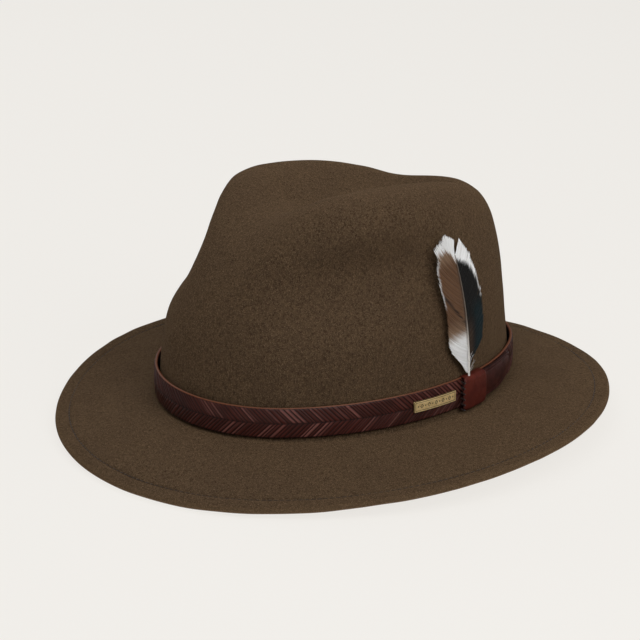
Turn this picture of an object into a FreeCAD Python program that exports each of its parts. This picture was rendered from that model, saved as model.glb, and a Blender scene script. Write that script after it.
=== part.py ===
import FreeCAD, Part
import math
import os

# A felt fedora with a teardrop crown, a leather hatband and a lined inside.
# Millimetres. +Z up, the front of the hat faces -Y, the wearer's left is +X.
# The origin is the centre of the head opening, level with the foot of the crown.
# A "turn" is an angle round the hat from its front towards the wearer's left.

Vector = FreeCAD.Vector

# Foot of the crown: an oval of four arcs, measured on the outside of the felt
FOOT_HALF_LENGTH = 105.0
FOOT_HALF_WIDTH = 83.6
FOOT_END_RADIUS = 72.0
FOOT_END_OFFSET = FOOT_HALF_LENGTH - FOOT_END_RADIUS
FOOT_RADIUS_GAP = FOOT_HALF_WIDTH - FOOT_END_RADIUS
FOOT_SIDE_OFFSET = (FOOT_END_OFFSET ** 2 - FOOT_RADIUS_GAP ** 2) / (2 * FOOT_RADIUS_GAP)
FOOT_SIDE_RADIUS = FOOT_HALF_WIDTH + FOOT_SIDE_OFFSET
FOOT_JOIN = math.atan2(FOOT_END_OFFSET, FOOT_SIDE_OFFSET)

# Crown
CROWN_HEIGHT = 121.2
WALL_SQUARENESS = 6.36
WALL_SQUARENESS_FRONT = -1.51
WALL_SQUARENESS_ENDS = -2.12
SIDE_LEAN_IN = 0.128
SIDE_LEAN_POWER = 2.0
FRONT_LEAN_IN = 0.16
BACK_LEAN_IN = 0.031
END_LEAN_POWER = 1.02
TOP_FORWARD = 6.6
TEARDROP_NARROWING = 0.252
TEARDROP_REACH = 91.8
FRONT_FALL = 17.0
FRONT_FALL_FROM, FRONT_FALL_TO = 24.4, 102.1
BACK_FALL = 6.8
BACK_FALL_FROM, BACK_FALL_TO = -18.4, 81.9
RIGHT_RIDGE_DROP = 8.7
RIDGE_SPREAD = 40.8

# Lengthwise crease in the top
CREASE_DEPTH = 16.2
CREASE_SHAPE = 2.4
CREASE_FRONT_WIDTH, CREASE_BACK_WIDTH = 24.3, 28.1
CREASE_WIDTH_FROM, CREASE_WIDTH_TO = -71.4, 30.6
CREASE_BACK_FROM, CREASE_BACK_TO = 60.0, 86.6
CREASE_FRONT_FROM, CREASE_FRONT_TO = 13.2, 72.7

# Pinched dimple in each side of the crown's front
PINCH_DEPTH = 13.0
PINCH_TURN, PINCH_TURN_WIDTH, PINCH_TURN_SHAPE = 58.8, 38.1, 2.83
PINCH_HEIGHT, PINCH_RISE = 80.3, 0.197
PINCH_BELOW_WIDTH, PINCH_BELOW_SHAPE = 21.7, 2.6
PINCH_ABOVE_WIDTH, PINCH_ABOVE_SHAPE = 20.2, 1.95
PINCH_FADE_FROM, PINCH_FADE_TO = 0.93, 0.99

# Brim: sizes change round the hat with the cosines of none, one, two and three turns,
# and the skews, which make its two sides a little unlike, with the sines of one and two turns
BRIM_WIDTH = (59.9, 2.8, -5.8, 0.4)
BRIM_WIDTH_SKEW = (-0.4, -1.0)
BRIM_SLOPE = (-0.160, -0.028, -0.036, 0.002)
BRIM_CURL = (-0.022, -0.052, -0.051, -0.004)
EDGE_LIFT = (0.0, 2.1, -0.2)
EDGE_LIFT_SKEW = (0.6, -2.4)
EDGE_LIFT_POWER = 1.5
BRIM_BACK_SHIFT = 2.0
BREAK_DROP = 0.9
BREAK_FADE = 6.0
FELT = 2.2

# The front of the brim snaps up and down about a line just in front of the crown
SNAP_LINE = -112.0
SNAP_KERF = 4.0

# Stitching near the brim's edge
STITCH_INSET = 8.2
BRIM_THREAD_RADIUS = 0.75
THREAD_RADIUS = 0.3
THREAD_CLEAR = 0.08

# Inside
LINING_DEPTH = 2.5
LINING = 0.3
LINING_FROM, LINING_SEAM = 6.0, 38.0
PIPING_RADIUS = 0.6
SWEATBAND_DEPTH = 3.1
SWEATBAND = 1.0
SWEATBAND_HEIGHT = 36.0
REED_RADIUS = 0.9
REED_HEIGHT = -1.4
SWEATBAND_THREAD_HEIGHT = 3.4
SWEATBAND_THREAD_GAP = 0.35
BOW_LOOP_LENGTH, BOW_LOOP_WIDTH, BOW_THICK, BOW_RIBBON = 9.0, 5.0, 0.8, 1.2
BOW_HEIGHT, BOW_CLEAR = 9.0, 1.6
BOW_KNOT_WIDTH, BOW_KNOT_DEPTH, BOW_KNOT_HEIGHT, BOW_KNOT_ROUND = 3.0, 1.6, 3.4, 0.5

# Hatband
STRAP_GAP = 1.0
STRAP = 1.5
STRAP_FACE = STRAP_GAP + STRAP
STRAP_BOTTOM, STRAP_HEIGHT = 1.3, 17.0
STRAP_BUTT_GAP = 3.0

# Tongue, which lies over the band from inside the keeper
TONGUE = 1.1
TONGUE_CLEAR = 0.2
TONGUE_FACE = STRAP_FACE + TONGUE_CLEAR + TONGUE
TONGUE_TUCK = 1.0
TONGUE_TIP_ANGLE = math.radians(34.0)
TONGUE_TIP_RADIUS = 4.0
TONGUE_TIP_HEIGHT = STRAP_BOTTOM + 0.62 * STRAP_HEIGHT
TONGUE_TOP = STRAP_BOTTOM + STRAP_HEIGHT - 0.6
TONGUE_TAPER_FROM = 0.45

# Keeper, a loop round band and tongue at one place on the left side arc
KEEPER_ANGLE = math.radians(11.85)
KEEPER_WIDTH = 20.4
KEEPER_LAYER = 0.5
KEEPER_FRONT_LAYER = 1.1
KEEPER_CLEAR = 0.3
KEEPER_BACK_CLEAR = 0.25
KEEPER_FRONT_CLEAR = 0.8
KEEPER_ROUND = 1.0
KEEPER_BACK = STRAP_GAP - KEEPER_BACK_CLEAR - KEEPER_LAYER
KEEPER_FACE = TONGUE_FACE + KEEPER_FRONT_CLEAR + KEEPER_FRONT_LAYER
KEEPER_LOW = STRAP_BOTTOM - KEEPER_CLEAR - 2 * KEEPER_LAYER
KEEPER_HIGH = STRAP_BOTTOM + STRAP_HEIGHT + KEEPER_CLEAR + 2 * KEEPER_LAYER
KEEPER_STITCHES, KEEPER_STITCH_LENGTH = 6, 2.6
KEEPER_STITCH_INSET, KEEPER_STITCH_SLANT = 1.3, 0.3

# Badge, a flat plate on the band just in front of the keeper
BADGE_ANGLE = math.radians(-1.45)
BADGE_LENGTH, BADGE_HEIGHT, BADGE_THICK = 28.6, 6.4, 0.9
BADGE_LEVEL = STRAP_BOTTOM + 0.58 * STRAP_HEIGHT
BADGE_CORNER, BADGE_CLEAR = 0.8, 0.15
PRONG_LENGTH, PRONG_WIDTH, PRONG_HEIGHT, PRONG_SPREAD = 1.1, 1.6, 0.8, 9.0

# Feather, in a plane that stands just off the crown's side wall
FEATHER_ANGLE = math.radians(9.5)
FEATHER_OUT = 3.25
FEATHER_LEVEL = STRAP_BOTTOM + STRAP_HEIGHT + 1.5
FEATHER_TILT_IN = math.radians(5.0)
FEATHER_LEAN_FRONT = math.radians(1.5)
QUILL_TUCK, QUILL_LENGTH = 8.0, 76.0
QUILL_RADIUS, QUILL_TIP_RADIUS = 0.5, 0.25
QUILL_HOLE_RADIUS = 0.75
VANE = 0.4
VANE_CLEAR = 0.15
BROWN_VANE_OUTLINE = [(4, 1), (12, 8), (22, 14), (42, 15), (60, 16), (74, 14), (80, 7)]
DARK_VANE_OUTLINE = [(8, 1), (16, 8), (29, 13), (43, 13.5), (57, 12), (70, 7), (76, 1)]

# How finely the felt's surfaces are laid out
TURN_STEPS = 120
CLIMB_STEP = 2.5


def smooth(low, high, value):
    """Rises from 0 at low to 1 at high with flat ends."""
    share = min(1.0, max(0.0, (value - low) / (high - low)))
    return share * share * (3 - 2 * share)


def waves(parts, turn):
    """Sum of cosines of 0, 1, 2 and 3 times the turn."""
    return sum(size * math.cos(count * turn) for count, size in enumerate(parts))


def oval_radius(turn):
    """Distance from the centre to the four-arc oval of the crown's foot."""
    across, ahead = abs(math.sin(turn)), abs(math.cos(turn))
    join_x = FOOT_SIDE_RADIUS * math.cos(FOOT_JOIN) - FOOT_SIDE_OFFSET
    join_y = FOOT_SIDE_RADIUS * math.sin(FOOT_JOIN)
    if across * join_y > ahead * join_x:
        centre_x, centre_y, radius = -FOOT_SIDE_OFFSET, 0.0, FOOT_SIDE_RADIUS
    else:
        centre_x, centre_y, radius = 0.0, FOOT_END_OFFSET, FOOT_END_RADIUS
    along = across * centre_x + ahead * centre_y
    return along + math.sqrt(along ** 2 - centre_x ** 2 - centre_y ** 2 + radius ** 2)


def crown_point(turn, climb):
    """Outer skin of the crown; climb runs from 0 at the foot to a quarter turn at the top's centre."""
    square = waves((WALL_SQUARENESS, WALL_SQUARENESS_FRONT, WALL_SQUARENESS_ENDS), turn)
    norm = (math.cos(climb) ** square + math.sin(climb) ** square) ** (1 / square)
    out = math.cos(climb) / norm
    up = math.sin(climb) / norm
    reach = oval_radius(turn)
    end_lean = BACK_LEAN_IN + (FRONT_LEAN_IN - BACK_LEAN_IN) * (1 + math.cos(turn)) / 2
    x = reach * math.sin(turn) * out * (1 - SIDE_LEAN_IN * up ** SIDE_LEAN_POWER)
    y = -reach * math.cos(turn) * out * (1 - end_lean * up ** END_LEAN_POWER) - TOP_FORWARD * up
    z = CROWN_HEIGHT * up
    x = x * (1 - TEARDROP_NARROWING * smooth(0, TEARDROP_REACH, -y) * up ** 2)
    z = z - FRONT_FALL * smooth(FRONT_FALL_FROM, FRONT_FALL_TO, -y) * up ** 2
    z = z - BACK_FALL * smooth(BACK_FALL_FROM, BACK_FALL_TO, y) * up
    z = z - RIGHT_RIDGE_DROP * smooth(-RIDGE_SPREAD, RIDGE_SPREAD, -x) * up ** 2
    z = z - crease_depth(x, y) * smooth(0.5, 0.98, up)
    return pinched(x, y, z, up)


def crease_depth(x, y):
    """Depth of the lengthwise crease, which closes in front and behind."""
    widen = smooth(CREASE_WIDTH_FROM, CREASE_WIDTH_TO, y)
    width = CREASE_FRONT_WIDTH + (CREASE_BACK_WIDTH - CREASE_FRONT_WIDTH) * widen
    open_back = 1 - smooth(CREASE_BACK_FROM, CREASE_BACK_TO, y)
    open_front = 1 - smooth(CREASE_FRONT_FROM, CREASE_FRONT_TO, -y)
    return CREASE_DEPTH * open_back * open_front * math.exp(-(abs(x) / width) ** CREASE_SHAPE)


def pinched(x, y, z, up):
    """Draws a point of the crown in towards the middle where the front is pinched."""
    side_turn = math.degrees(math.atan2(abs(x), -y))
    middle = PINCH_HEIGHT + PINCH_RISE * (side_turn - PINCH_TURN)
    around = math.exp(-(abs(side_turn - PINCH_TURN) / PINCH_TURN_WIDTH) ** PINCH_TURN_SHAPE)
    if z < middle:
        upright = math.exp(-((middle - z) / PINCH_BELOW_WIDTH) ** PINCH_BELOW_SHAPE)
    else:
        upright = math.exp(-((z - middle) / PINCH_ABOVE_WIDTH) ** PINCH_ABOVE_SHAPE)
    depth = PINCH_DEPTH * around * upright * (1 - smooth(PINCH_FADE_FROM, PINCH_FADE_TO, up))
    radius = math.hypot(x, y) + 1e-6
    keep = 1 - min(depth, 0.6 * radius) / radius
    return Vector(x * keep, y * keep, z)


def skewed(parts, skew, turn):
    """Sum of cosines of the turn, with sines of one and two turns."""
    return waves(parts, turn) + skew[0] * math.sin(turn) + skew[1] * math.sin(2 * turn)


def brim_width(turn):
    """Width of the brim, measured flat."""
    return skewed(BRIM_WIDTH, BRIM_WIDTH_SKEW, turn)


def brim_point(turn, share):
    """Upper skin of the brim; share runs from 0 at the crown to 1 at the edge."""
    width = brim_width(turn)
    radius = oval_radius(turn) + width * share
    fall = waves(BRIM_SLOPE, turn) * share + waves(BRIM_CURL, turn) * share ** 2
    lift = skewed(EDGE_LIFT, EDGE_LIFT_SKEW, turn) * share ** EDGE_LIFT_POWER
    z = width * fall + lift - BREAK_DROP * (1 - share) ** BREAK_FADE
    return Vector(radius * math.sin(turn), BRIM_BACK_SHIFT * share - radius * math.cos(turn), z)


def turns():
    """The evenly spaced turns of one ring."""
    return [2 * math.pi * index / TURN_STEPS for index in range(TURN_STEPS)]


def crown_ring(climb_degrees):
    """Ring of points round the crown's outer skin."""
    return [crown_point(turn, math.radians(climb_degrees)) for turn in turns()]


def brim_ring(share):
    """Ring of points round the brim's upper skin."""
    return [brim_point(turn, share) for turn in turns()]


def crown_climbs(low, high):
    """Climb angles from low to high in about equal steps."""
    count = max(2, round((high - low) / CLIMB_STEP))
    return [low + (high - low) * index / count for index in range(count + 1)]


def outward(rings, row, index):
    """Unit normal of a stack of rings, listed from the top down, pointing out of the hat."""
    above = rings[max(row - 1, 0)][index]
    below = rings[min(row + 1, len(rings) - 1)][index]
    ring = rings[row]
    step = ring[(index + 1) % len(ring)] - ring[index - 1]
    normal = (below - above).cross(step)
    return normal.normalize()


def inset_rings(rings, depth):
    """The same rings, moved in by depth along the normals."""
    moved = []
    for row, ring in enumerate(rings):
        moved.append([point - outward(rings, row, index) * depth for index, point in enumerate(ring)])
    return moved


def ring_surface(rings, closed):
    """Cubic surface through stacked rings; closed joins the last ring to the first."""
    count = len(rings)
    around = len(rings[0])
    if closed:
        row_knots = list(range(count + 1))
        row_mults = [1] * (count + 1)
    else:
        row_knots = list(range(count - 2))
        row_mults = [4] + [1] * (count - 4) + [4]
    surface = Part.BSplineSurface()
    surface.buildFromPolesMultsKnots(
        rings, row_mults, [1] * (around + 1), row_knots, list(range(around + 1)), closed, True, 3, 3
    )
    return surface


def ring_solid(rings, closed):
    """Solid inside stacked rings: a hoop when closed, or a skin whose end rings are single points."""
    shell = Part.Shell([ring_surface(rings, closed).toShape()])
    solid = Part.Solid(shell)
    if solid.Volume < 0:
        solid.reverse()
    return solid


def hoop_solid(rings, shallow, deep):
    """Thin hoop between two depths below a stack of rings."""
    outer = inset_rings(rings, shallow)
    inner = inset_rings(rings, deep)
    middle_depth = (shallow + deep) / 2
    middle = inset_rings(rings, middle_depth)
    return ring_solid([middle[0]] + outer + [middle[-1]] + inner[::-1], True)


def tube_solid(path, normals, radius):
    """Round tube along a closed path of points."""
    sides = 8
    pull_out = 3 / (2 + math.cos(2 * math.pi / sides))
    rings = []
    for side in range(sides):
        angle = 2 * math.pi * side / sides
        ring = []
        for index, point in enumerate(path):
            along = (path[(index + 1) % len(path)] - path[index - 1]).normalize()
            sideways = along.cross(normals[index])
            offset = normals[index] * math.cos(angle) + sideways * math.sin(angle)
            ring.append(point + offset * (radius * pull_out))
        rings.append(ring)
    return ring_solid(rings, True)


def point_ring(point):
    """A ring shrunk to one point."""
    return [point] * TURN_STEPS


def felt_rings():
    """Rings of the felt's outer skin, from near the top's centre down to the brim's edge."""
    crown = [crown_ring(climb) for climb in crown_climbs(1.0, 90 - CLIMB_STEP)[::-1]]
    shares = [0.0, 0.03, 0.08, 0.16, 0.27, 0.39, 0.51, 0.63, 0.74, 0.84, 0.92, 0.975, 1.0]
    return crown + [brim_ring(share) for share in shares]


def felt():
    """Crown and brim as one closed skin with the felt's thickness."""
    rings = felt_rings()
    inner = inset_rings(rings, FELT)
    top = crown_point(0, math.pi / 2)
    inner_top = top - Vector(0, 0, FELT)
    return ring_solid([point_ring(top)] + rings + inner[::-1] + [point_ring(inner_top)], False)


def snap_block():
    """Space in front of the snap line."""
    size = 4 * FOOT_HALF_LENGTH
    return Part.makeBox(size, size, size, Vector(-size / 2, SNAP_LINE - SNAP_KERF / 2 - size, -size / 2))


def crown_block():
    """Space behind the snap line."""
    size = 4 * FOOT_HALF_LENGTH
    return Part.makeBox(size, size, size, Vector(-size / 2, SNAP_LINE + SNAP_KERF / 2, -size / 2))


def brim_threads():
    """Two rows of thread, above and below the felt, a finger's width inside the brim's edge."""
    path = []
    normals = []
    for turn in turns():
        share = 1 - STITCH_INSET / brim_width(turn)
        here = brim_point(turn, share)
        outer = brim_point(turn, share + 0.02)
        beside = brim_point(turn + 0.01, share)
        path.append(here)
        normals.append((outer - here).cross(beside - here).normalize())
    lift = BRIM_THREAD_RADIUS + THREAD_CLEAR
    upper = [point + normal * lift for point, normal in zip(path, normals)]
    lower = [point - normal * (FELT + lift) for point, normal in zip(path, normals)]
    return [tube_solid(row, normals, BRIM_THREAD_RADIUS) for row in (upper, lower)]


def lining_side():
    """Satin round the crown's wall, from behind the sweatband up to the seam."""
    rings = [crown_ring(climb) for climb in crown_climbs(LINING_FROM, LINING_SEAM)[::-1]]
    return hoop_solid(rings, LINING_DEPTH, LINING_DEPTH + LINING)


def lining_tip():
    """Satin under the crown's top, from the seam inwards."""
    rings = [crown_ring(climb) for climb in crown_climbs(LINING_SEAM + 0.6, 90 - CLIMB_STEP)[::-1]]
    outer = inset_rings(rings, LINING_DEPTH)
    inner = inset_rings(rings, LINING_DEPTH + LINING)
    top = crown_point(0, math.pi / 2) - Vector(0, 0, LINING_DEPTH)
    inner_top = top - Vector(0, 0, LINING)
    return ring_solid([point_ring(top)] + outer + inner[::-1] + [point_ring(inner_top)], False)


def lining_piping():
    """Cord over the seam between the two pieces of lining."""
    rings = [crown_ring(LINING_SEAM + step) for step in (1.5, 0.3, -1.0)]
    depth = LINING_DEPTH + LINING + PIPING_RADIUS + 0.25
    normals = [outward(rings, 1, index) for index in range(TURN_STEPS)]
    path = inset_rings(rings, depth)[1]
    return tube_solid(path, normals, PIPING_RADIUS)


def sweatband():
    """Leather strip round the inside of the head opening."""
    top = math.degrees(math.atan2(SWEATBAND_HEIGHT, CROWN_HEIGHT))
    rings = [crown_ring(climb) for climb in crown_climbs(0.2, top)[::-1]]
    return hoop_solid(rings, SWEATBAND_DEPTH, SWEATBAND_DEPTH + SWEATBAND)


def foot_oval(grow, height):
    """The foot's oval as a wire of four arcs, grown outwards by grow."""
    def arc(centre_x, centre_y, radius, start, end):
        centre = Vector(centre_x, centre_y, height)
        circle = Part.Circle(centre, Vector(0, 0, 1), radius + grow)
        return Part.Arc(circle, start, end).toShape()

    join = FOOT_JOIN
    half = math.pi
    return Part.Wire([
        arc(-FOOT_SIDE_OFFSET, 0, FOOT_SIDE_RADIUS, -join, join),
        arc(0, FOOT_END_OFFSET, FOOT_END_RADIUS, join, half - join),
        arc(FOOT_SIDE_OFFSET, 0, FOOT_SIDE_RADIUS, half - join, half + join),
        arc(0, -FOOT_END_OFFSET, FOOT_END_RADIUS, half + join, 2 * half - join),
    ])


def oval_tube(grow, height, radius):
    """Round cord along the foot's oval."""
    path = foot_oval(grow, height)
    start = Vector(FOOT_HALF_WIDTH + grow, 0, height)
    along = Vector(0, 1, 0)
    ring = Part.Wire([Part.Circle(start, along, radius).toShape()])
    split = Part.Wire(path.Edges)
    return split.makePipeShell([ring], True, True)


def reed():
    """Round reed that stiffens the sweatband's lower edge."""
    return oval_tube(-(SWEATBAND_DEPTH + SWEATBAND / 2), REED_HEIGHT, REED_RADIUS)


def sweatband_thread():
    """Row of thread on the sweatband's face, just above the reed."""
    depth = SWEATBAND_DEPTH + SWEATBAND + THREAD_RADIUS + SWEATBAND_THREAD_GAP
    return oval_tube(-depth, SWEATBAND_THREAD_HEIGHT, THREAD_RADIUS)


def sweatband_bow():
    """Small flat bow on the sweatband's back seam: two loops and a knot."""
    face_y = FOOT_HALF_LENGTH - SWEATBAND_DEPTH - SWEATBAND - BOW_CLEAR
    pieces = []
    for side in (-1, 1):
        centre = Vector(side * BOW_LOOP_LENGTH / 2, face_y, BOW_HEIGHT)
        outer = bow_oval(centre, BOW_LOOP_LENGTH / 2, BOW_LOOP_WIDTH / 2)
        inner = bow_oval(centre, BOW_LOOP_LENGTH / 2 - BOW_THICK, BOW_LOOP_WIDTH / 2 - BOW_THICK)
        pieces.append(outer.cut(inner))
    corner = Vector(-BOW_KNOT_WIDTH / 2, face_y - BOW_KNOT_DEPTH, BOW_HEIGHT - BOW_KNOT_HEIGHT / 2)
    knot = Part.makeBox(BOW_KNOT_WIDTH, BOW_KNOT_DEPTH, BOW_KNOT_HEIGHT, corner)
    knot = knot.makeFillet(BOW_KNOT_ROUND, knot.Edges)
    return pieces[0].fuse([pieces[1], knot]).removeSplitter()


def bow_oval(centre, half_length, half_width):
    """Upright oval plate, one ribbon wide."""
    face = Part.Face(Part.Wire([Part.Ellipse(Vector(), half_length, half_width).toShape()]))
    face.rotate(Vector(), Vector(1, 0, 0), 90)
    face.translate(centre)
    return face.extrude(Vector(0, -BOW_RIBBON, 0))


def foot_hoop(inner_grow, outer_grow, bottom, height):
    """Upright hoop between two growths of the foot's oval."""
    outer = Part.Face(foot_oval(outer_grow, bottom)).extrude(Vector(0, 0, height))
    inner = Part.Face(foot_oval(inner_grow, bottom - 1)).extrude(Vector(0, 0, height + 2))
    return outer.cut(inner)


def side_sector(inner_grow, outer_grow, start, end, bottom, height):
    """Block on the left side arc of the oval, between two angles about that arc's centre."""
    centre = Vector(-FOOT_SIDE_OFFSET, 0, bottom)
    up = Vector(0, 0, 1)
    wedge = math.degrees(end - start)
    outer = Part.makeCylinder(FOOT_SIDE_RADIUS + outer_grow, height, centre, up, wedge)
    inner = Part.makeCylinder(FOOT_SIDE_RADIUS + inner_grow, height, centre, up, wedge)
    block = outer.cut(inner)
    block.rotate(centre, up, math.degrees(start))
    return block


def side_point(angle, grow, height):
    """Point on the left side arc of the oval."""
    radius = FOOT_SIDE_RADIUS + grow
    return Vector(radius * math.cos(angle) - FOOT_SIDE_OFFSET, radius * math.sin(angle), height)


def hatband_strap():
    """Leather band round the foot of the crown; its two ends meet behind the keeper."""
    band = foot_hoop(STRAP_GAP, STRAP_FACE, STRAP_BOTTOM, STRAP_HEIGHT)
    half_gap = STRAP_BUTT_GAP / 2 / FOOT_SIDE_RADIUS
    start, end = KEEPER_ANGLE - half_gap, KEEPER_ANGLE + half_gap
    gap = side_sector(0, 2 * STRAP_FACE, start, end, 0, 2 * STRAP_HEIGHT)
    return band.cut([gap, badge_prongs(BADGE_CLEAR)])


def strap_tongue():
    """Smooth tongue over the band, from inside the keeper to its rounded tip."""
    start = KEEPER_ANGLE + TONGUE_TUCK / FOOT_SIDE_RADIUS
    inner = STRAP_FACE + TONGUE_CLEAR
    strip = side_sector(inner, TONGUE_FACE, start, TONGUE_TIP_ANGLE, STRAP_BOTTOM, STRAP_HEIGHT)
    return strip.common(tongue_outline(start))


def tongue_outline(start):
    """Block whose outline tapers to a rounded tip, seen square on to the tongue."""
    middle_angle = (start + TONGUE_TIP_ANGLE) / 2
    outward_way = Vector(math.cos(middle_angle), math.sin(middle_angle), 0)
    along = Vector(-math.sin(middle_angle), math.cos(middle_angle), 0)
    block = 25.0
    middle = side_point(middle_angle, STRAP_FACE - block / 2, 0)
    reach = math.sin(TONGUE_TIP_ANGLE - middle_angle) * FOOT_SIDE_RADIUS
    low = STRAP_BOTTOM - 1
    root = -2 * reach
    taper_from = TONGUE_TAPER_FROM * reach
    shoulder = reach - 1.6 * TONGUE_TIP_RADIUS

    def at(distance, height):
        return middle + along * distance + Vector(0, 0, height)

    def nearly(back, up):
        return at(reach - back * TONGUE_TIP_RADIUS, TONGUE_TIP_HEIGHT + up * TONGUE_TIP_RADIUS)

    lower = Part.makeLine(at(root, low), at(taper_from, low))
    flank = Part.Arc(at(taper_from, low), nearly(0.6, -1.7), nearly(0, 0)).toShape()
    nose = Part.Arc(nearly(0, 0), nearly(0.4, 0.75), at(shoulder, TONGUE_TOP)).toShape()
    upper = Part.makeLine(at(shoulder, TONGUE_TOP), at(root, TONGUE_TOP))
    end = Part.makeLine(at(root, TONGUE_TOP), at(root, low))
    outline = Part.Wire([lower, flank, nose, upper, end])
    return Part.Face(outline).extrude(outward_way * block)


def keeper_loop():
    """Leather loop round band and tongue, free to slide along them, with a hole for the quill."""
    half = KEEPER_WIDTH / 2 / FOOT_SIDE_RADIUS
    start, end = KEEPER_ANGLE - half, KEEPER_ANGLE + half
    height = KEEPER_HIGH - KEEPER_LOW
    outer = side_sector(KEEPER_BACK, KEEPER_FACE, start, end, KEEPER_LOW, height)
    level_edges = [edge for edge in outer.Edges if abs(edge.Vertexes[0].Z - edge.Vertexes[-1].Z) < 1e-6]
    long_edges = [edge for edge in level_edges if edge.Length > KEEPER_WIDTH / 2]
    outer = outer.makeFillet(KEEPER_ROUND, [edge for edge in long_edges if is_front(edge, KEEPER_FACE)])
    past_end = 0.1
    hollow = side_sector(
        KEEPER_BACK + KEEPER_LAYER, KEEPER_FACE - KEEPER_FRONT_LAYER, start - past_end, end + past_end,
        KEEPER_LOW + 2 * KEEPER_LAYER, height - 4 * KEEPER_LAYER,
    )
    origin, along, across, outward_way = feather_frame()
    hole_length = 6 * KEEPER_LAYER
    hole = Part.makeCylinder(QUILL_HOLE_RADIUS, hole_length, origin - along * (hole_length / 2), along)
    return outer.cut([hollow, hole])


def is_front(edge, grow):
    """Whether an edge lies on the face that is grown outwards by grow."""
    point = edge.Vertexes[0].Point
    radius = math.hypot(point.x + FOOT_SIDE_OFFSET, point.y)
    return abs(radius - FOOT_SIDE_RADIUS - grow) < 0.01


def keeper_thread():
    """Short slanted stitches down the keeper's front edge."""
    angle = KEEPER_ANGLE - (KEEPER_WIDTH / 2 - KEEPER_STITCH_INSET) / FOOT_SIDE_RADIUS
    slant = Vector(-math.sin(angle), math.cos(angle), 0) * KEEPER_STITCH_SLANT
    along = (slant + Vector(0, 0, 1)).normalize()
    stitches = []
    for index in range(KEEPER_STITCHES):
        height = STRAP_BOTTOM + STRAP_HEIGHT * (index + 0.5) / KEEPER_STITCHES
        centre = side_point(angle, KEEPER_FACE + THREAD_RADIUS + THREAD_CLEAR, height)
        start = centre - along * (KEEPER_STITCH_LENGTH / 2)
        stitches.append(Part.makeCylinder(THREAD_RADIUS, KEEPER_STITCH_LENGTH, start, along))
    return Part.makeCompound(stitches)


def badge_frame():
    """Centre, outward and lengthwise directions of the badge."""
    outward_way = Vector(math.cos(BADGE_ANGLE), math.sin(BADGE_ANGLE), 0)
    along = Vector(-math.sin(BADGE_ANGLE), math.cos(BADGE_ANGLE), 0)
    centre = side_point(BADGE_ANGLE, STRAP_FACE + BADGE_CLEAR, BADGE_LEVEL)
    return centre, outward_way, along


def badge_box(centre, outward_way, along, length, thick, height):
    """Box standing out from centre, square to the badge."""
    corner = centre - along * (length / 2) - Vector(0, 0, height / 2)
    outline = Part.makePolygon([
        corner, corner + along * length, corner + along * length + Vector(0, 0, height),
        corner + Vector(0, 0, height), corner,
    ])
    return Part.Face(outline).extrude(outward_way * thick)


def badge_prongs(grow):
    """Two short prongs behind the badge, which sit in slits through the band."""
    centre, outward_way, along = badge_frame()
    prongs = []
    for side in (-1, 1):
        foot = centre + along * (side * PRONG_SPREAD) - outward_way * (PRONG_LENGTH + grow)
        width, height = PRONG_WIDTH + 2 * grow, PRONG_HEIGHT + 2 * grow
        prongs.append(badge_box(foot, outward_way, along, width, PRONG_LENGTH + 1.5 * grow, height))
    return Part.makeCompound(prongs)


def badge_plate():
    """Flat brass plate with rounded corners and two prongs."""
    centre, outward_way, along = badge_frame()
    plate = badge_box(centre, outward_way, along, BADGE_LENGTH, BADGE_THICK, BADGE_HEIGHT)
    corners = [edge for edge in plate.Edges if abs(edge.Length - BADGE_THICK) < 1e-6]
    plate = plate.makeFillet(BADGE_CORNER, corners)
    return plate.fuse(badge_prongs(0).Solids).removeSplitter()


def feather_frame():
    """Where the quill enters the keeper, and the feather's along, across and outward directions."""
    origin = side_point(FEATHER_ANGLE, FEATHER_OUT, FEATHER_LEVEL)
    radial = Vector(math.cos(FEATHER_ANGLE), math.sin(FEATHER_ANGLE), 0)
    tangent = Vector(-math.sin(FEATHER_ANGLE), math.cos(FEATHER_ANGLE), 0)
    up = Vector(0, 0, 1)
    leaned = up * math.cos(FEATHER_LEAN_FRONT) - tangent * math.sin(FEATHER_LEAN_FRONT)
    along = leaned * math.cos(FEATHER_TILT_IN) - radial * math.sin(FEATHER_TILT_IN)
    across = (tangent + up * math.tan(FEATHER_LEAN_FRONT)).normalize()
    return origin, along, across, across.cross(along).normalize() * -1


def feather_point(height, width, depth):
    """Point of the feather: distances up the shaft from the keeper, across it and out of its plane."""
    origin, along, across, outward_way = feather_frame()
    return origin + along * height + across * width + outward_way * depth


def feather_quill():
    """Tapered shaft, from inside the keeper to the feather's tip."""
    origin, along, across, outward_way = feather_frame()
    start = origin - along * QUILL_TUCK
    length = QUILL_TUCK + QUILL_LENGTH
    return Part.makeCone(QUILL_RADIUS, QUILL_TIP_RADIUS, length, start, along)


def vane(outline, side):
    """Thin vane on one side of the shaft; outline lists heights up the shaft and widths."""
    inner = QUILL_RADIUS + VANE_CLEAR
    first, last = outline[0][0], outline[-1][0]
    edge_points = [feather_point(height, side * (inner + width), -VANE / 2) for height, width in outline]
    curve = Part.BSplineCurve()
    curve.interpolate(edge_points)
    start = feather_point(first, side * inner, -VANE / 2)
    end = feather_point(last, side * inner, -VANE / 2)
    wire = Part.Wire([
        Part.makeLine(start, edge_points[0]),
        curve.toShape(),
        Part.makeLine(edge_points[-1], end),
        Part.makeLine(end, start),
    ])
    outward_way = feather_frame()[3]
    return Part.Face(wire).extrude(outward_way * VANE)


def feather_brown_vane():
    """Wider vane, towards the front of the hat."""
    return vane(BROWN_VANE_OUTLINE, -1)


def feather_dark_vane():
    """Narrower vane, towards the back of the hat."""
    return vane(DARK_VANE_OUTLINE, 1)


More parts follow.
